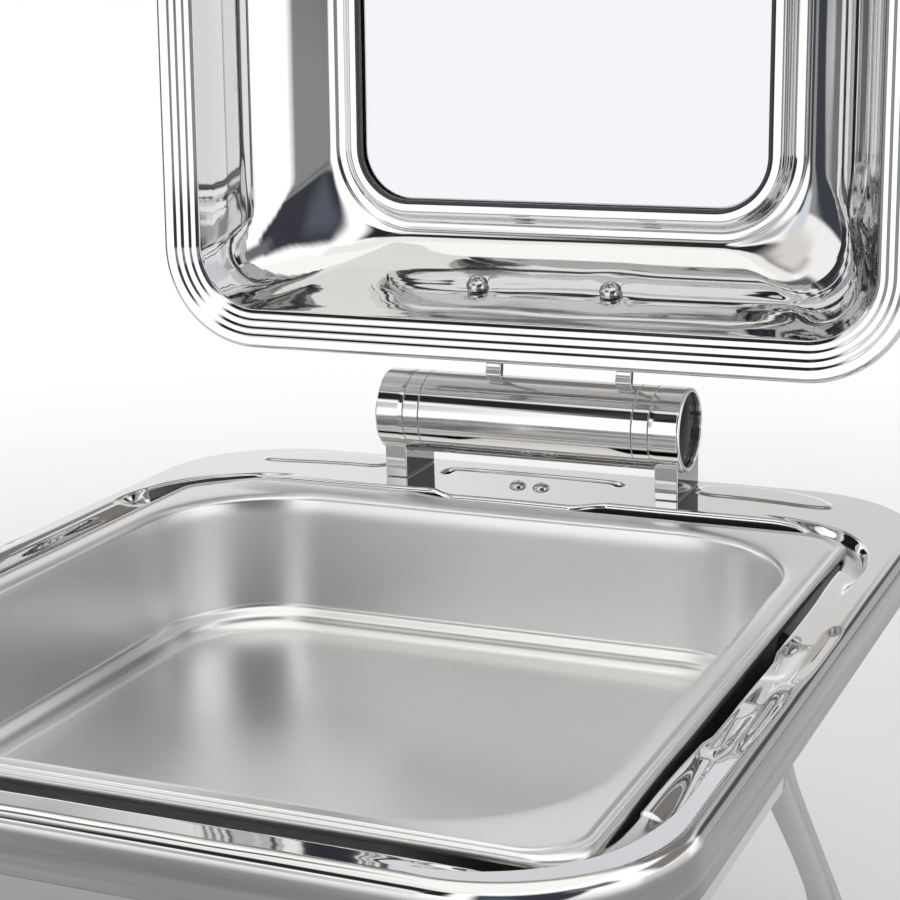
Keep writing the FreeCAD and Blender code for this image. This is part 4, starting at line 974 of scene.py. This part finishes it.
# ------------------------------------------------------------------ handle
bc = FP_ + FN_ * 34.0
prof = []
for j in range(0, 13):
    a = j / 12 * math.pi / 2
    prof.append((-68.0 - 6.4 * math.cos(a), 6.4 * math.sin(a)))
prof += [(x, 6.4) for x in np.linspace(-66.5, 66.5, 24)]
prof += [(-q, r) for q, r in prof[:13][::-1]]
ob = lathe_lid("handle_grip", prof, (0.0, bc[1], bc[2]), AX, M["polished_steel"], 96)
finish_piece(ob, "lid", "polished_steel", "handle_bar")
for s_, tag in ((-1, "left"), (1, "right")):
    pr = [(1.08, 2.6), (1.08, 7.6)] + arc_prof(1.5, 7.95, 2.4, 7.6, 4, True) + [(3.2, 6.8), (4.4, 5.7), (6.2, 4.95), (9.0, 4.62), (14.0, 4.6), (20.0, 4.6), (26.0, 4.7), (28.3, 5.0), (28.9, 4.6), (28.9, 2.6)]
    ob = lathe_lid("handle_stem_" + tag, pr, FP_ + np.array([s_ * 52.0, 0, 0]), FN_, M["polished_steel"], 96)
    finish_piece(ob, "lid", "polished_steel", "handle_post_" + tag)

# ------------------------------------------------------------------ studio
def studio():
    me = bpy.data.meshes.new("floor")
    n, rad = 96, 1.7
    me.from_pydata([(rad * math.cos(2 * math.pi * k / n), rad * math.sin(2 * math.pi * k / n), 0) for k in range(n)], [], [tuple(range(n))])
    fl = bpy.data.objects.new("floor", me)
    bpy.context.scene.collection.objects.link(fl)
    m, nt, b = mat_base("floor")
    L = nt.links
    b.inputs["Roughness"].default_value = 0.75
    b.inputs["Specular IOR Level"].default_value = 0.15
    tc = N(nt, "ShaderNodeTexCoord")
    n1 = N(nt, "ShaderNodeTexNoise"); n1.inputs["Scale"].default_value = 3.0; n1.inputs["Detail"].default_value = 5.0
    L.new(tc.outputs["Object"], n1.inputs["Vector"])
    L.new(ramp(nt, n1.outputs["Fac"], [(0.3, (0.575, 0.575, 0.58)), (0.7, (0.60, 0.60, 0.605))]), b.inputs["Base Color"])
    b.inputs["Emission Color"].default_value = (1, 1, 1, 1)
    b.inputs["Emission Strength"].default_value = 0.22
    # the pale paper runs out softly into the white of the studio
    ln = N(nt, "ShaderNodeVectorMath", operation="LENGTH"); L.new(tc.outputs["Object"], ln.inputs[0])
    mr = N(nt, "ShaderNodeMapRange"); mr.interpolation_type = "SMOOTHSTEP"
    mr.inputs["From Min"].default_value = 0.45; mr.inputs["From Max"].default_value = 1.55
    mr.inputs["To Min"].default_value = 1.0; mr.inputs["To Max"].default_value = 0.0
    L.new(ln.outputs["Value"], mr.inputs["Value"]); L.new(mr.outputs[0], b.inputs["Alpha"])
    me.materials.append(m)
    w = bpy.data.worlds.new("studio")
    bpy.context.scene.world = w
    w.use_nodes = True
    nt = w.node_tree; L = nt.links
    bg = nt.nodes["Background"]
    tc = nt.nodes.new("ShaderNodeTexCoord")
    sep = nt.nodes.new("ShaderNodeSeparateXYZ"); L.new(tc.outputs["Generated"], sep.inputs[0])
    def math_(op, a, b=None, c=None):
        n = nt.nodes.new("ShaderNodeMath"); n.operation = op
        for k, v in enumerate((a, b, c)):
            if v is None: continue
            if isinstance(v, (int, float)): n.inputs[k].default_value = v
            else: L.new(v, n.inputs[k])
        return n.outputs[0]
    ny = math_("MULTIPLY", sep.outputs[1], -1.0)
    az = math_("MULTIPLY", math_("ARCTAN2", sep.outputs[0], ny), 57.29578)       # 0 = front, + = right
    el = math_("MULTIPLY", math_("ARCSINE", math_("MINIMUM", math_("MAXIMUM", sep.outputs[2], -1.0), 1.0)), 57.29578)
    def smooth(v, a, b):
        n = nt.nodes.new("ShaderNodeMapRange"); n.interpolation_type = "SMOOTHSTEP"
        L.new(v, n.inputs["Value"]); n.inputs["From Min"].default_value = a; n.inputs["From Max"].default_value = b
        return n.outputs[0]
    def window(v, a, b, soft):
        return math_("MULTIPLY", smooth(v, a - soft, a + soft), math_("SUBTRACT", 1.0, smooth(v, b - soft, b + soft)))
    col = None
    def patch(col, c, a=None, e=None, sa=4.0, se=1.5, lean=(0.0, 0.0), low=None):
        m = None
        if a:
            up = math_("MAXIMUM", el, 0.0)
            lo = math_("MULTIPLY_ADD", up, lean[0], az) if lean[0] else az
            hi = math_("SUBTRACT", az, math_("MINIMUM", math_("MULTIPLY", up, lean[1]), 18.0)) if lean[1] else az
            m = math_("MULTIPLY", smooth(lo, a[0] - sa, a[0] + sa), math_("SUBTRACT", 1.0, smooth(hi, a[1] - sa, a[1] + sa)))
        if e:
            lw = se if low is None else low
            k = math_("MULTIPLY", smooth(el, e[0] - lw, e[0] + lw), math_("SUBTRACT", 1.0, smooth(el, e[1] - se, e[1] + se)))
            m = k if m is None else math_("MULTIPLY", m, k)
        n = nt.nodes.new("ShaderNodeMix"); n.data_type = "RGBA"
        L.new(m, n.inputs["Factor"])
        if isinstance(col, tuple): n.inputs["A"].default_value = (*col, 1)
        else: L.new(col, n.inputs["A"])
        n.inputs["B"].default_value = (*c, 1)
        return n.outputs["Result"]
    col = PATCHES[0]
    for p_ in PATCHES[1:]:
        col = patch(col, *p_)
    lp = nt.nodes.new("ShaderNodeLightPath")
    fin = nt.nodes.new("ShaderNodeMix"); fin.data_type = "RGBA"
    L.new(lp.outputs["Is Camera Ray"], fin.inputs["Factor"])
    # what shows through the window is the same bright backdrop from every side
    thr = nt.nodes.new("ShaderNodeMix"); thr.data_type = "RGBA"
    L.new(lp.outputs["Is Transmission Ray"], thr.inputs["Factor"])
    L.new(col, thr.inputs["A"]); thr.inputs["B"].default_value = (0.725, 0.722, 0.735, 1)
    L.new(thr.outputs["Result"], fin.inputs["A"]); fin.inputs["B"].default_value = (1, 1, 1, 1)
    L.new(fin.outputs["Result"], bg.inputs["Color"])
    st = math_("MULTIPLY_ADD", lp.outputs["Is Camera Ray"], -0.42, 1.42)
    L.new(st, bg.inputs["Strength"])
# the room as the polished steel sees it: (colour, azimuth range, elevation range, softness, lean);
# azimuth 0 is in front of the dish, + to its right, + elevation is up
PATCHES = [(1.05, 1.05, 1.05),
           ((0.55, 0.54, 0.53), None, (-99, -18), 4.0, 3.0),
           ((0.94, 0.925, 0.91), None, (58, 99), 4.0, 6.0),
           ((0.725, 0.722, 0.735), (140, 220), (-40, 6), 6.0, 3.0),
           ((0.725, 0.722, 0.735), (-190, -135), (-40, 6), 6.0, 3.0),
           ((0.57, 0.565, 0.56), (150, 220), (7, 60), 8.0, 3.0),
           ((0.70, 0.695, 0.69), (-220, -128), (7, 60), 5.0, 3.0),
           ((0.57, 0.565, 0.56), (-220, -158), (7, 60), 7.0, 3.0),
           ((0.40, 0.385, 0.37), (162, 220), (20.5, 30), 5.0, 2.0),
           ((0.40, 0.385, 0.37), (-220, -173), (20.5, 30), 5.0, 2.0),
           ((0.20, 0.19, 0.18), (110, 147), (14, 40), 5.0, 4.0),
           ((0.20, 0.19, 0.18), (-146, -112), (22, 40), 5.0, 4.0),
           ((0.18, 0.172, 0.165), (144, 220), (27, 52), 6.0, 3.5),
           ((0.18, 0.172, 0.165), (-220, -144), (27, 52), 6.0, 3.5),
           ((0.36, 0.35, 0.34), (146, 172), (-7, 9), 4.0, 3.0),
           ((0.07, 0.07, 0.075), (149, 166), (8, 20), 3.0, 3.0),
           ((0.07, 0.07, 0.075), (149, 166), (-24, -8), 3.0, 3.0),
           ((0.66, 0.66, 0.655), (97, 134), (-30, 12), 4.0, 5.0),
           ((0.84, 0.825, 0.81), (-74, 6), (50, 60), 4.0, 1.5),
           ((0.86, 0.85, 0.84), (-84, -44), (8, 46), 5.0, 4.0),
           ((0.13, 0.125, 0.12), (-92, -71), (42, 66), 3.0, 3.0),
           ((0.24, 0.23, 0.22), (-64, -20), (31, 49), 4.0, 3.0),
           ((0.020, 0.020, 0.022), (-45, -22), (33, 48), 4.0, 1.5),
           ((0.020, 0.020, 0.022), (-24, -8), (27, 48), 4.0, 1.5),
           ((0.24, 0.235, 0.24), (13, 52), (-16, 4), 3.0, 1.5),
           ((0.040, 0.042, 0.052), (6, 51), (3, 46), 4.0, 5.0, (0.0, 0.7), 4.0),
           ((0.14, 0.145, 0.16), (58, 90), (30, 45), 5.0, 4.0),
           ((0.085, 0.10, 0.125), (26, 27), (4, 36), 6.0, 9.0, (0.55, 0.0)),
           ((0.030, 0.030, 0.032), (4, 27), (-16, -3.5), 2.0, 0.6),
           ((0.045, 0.050, 0.060), (-88, -41), (-17, 13), 2.5, 1.5),
           ((0.26, 0.27, 0.28), (-64, -52), (-17, 13), 3.0, 1.5),
           ((0.62, 0.66, 0.70), (-57, -47), (5, 26), 2.0, 2.5),
           ((0.66, 0.64, 0.62), (-62, -50), (22, 45), 3.0, 5.0),
           ((0.42, 0.43, 0.44), (-42, -24), (11, 25), 5.0, 4.0)]
studio()

sc = bpy.context.scene
sc.view_settings.view_transform = "Standard"
sc.cycles.use_denoising = True
sc.cycles.max_bounces = 12
sc.cycles.glossy_bounces = 8
sc.cycles.transmission_bounces = 8
sc.cycles.caustics_reflective = True
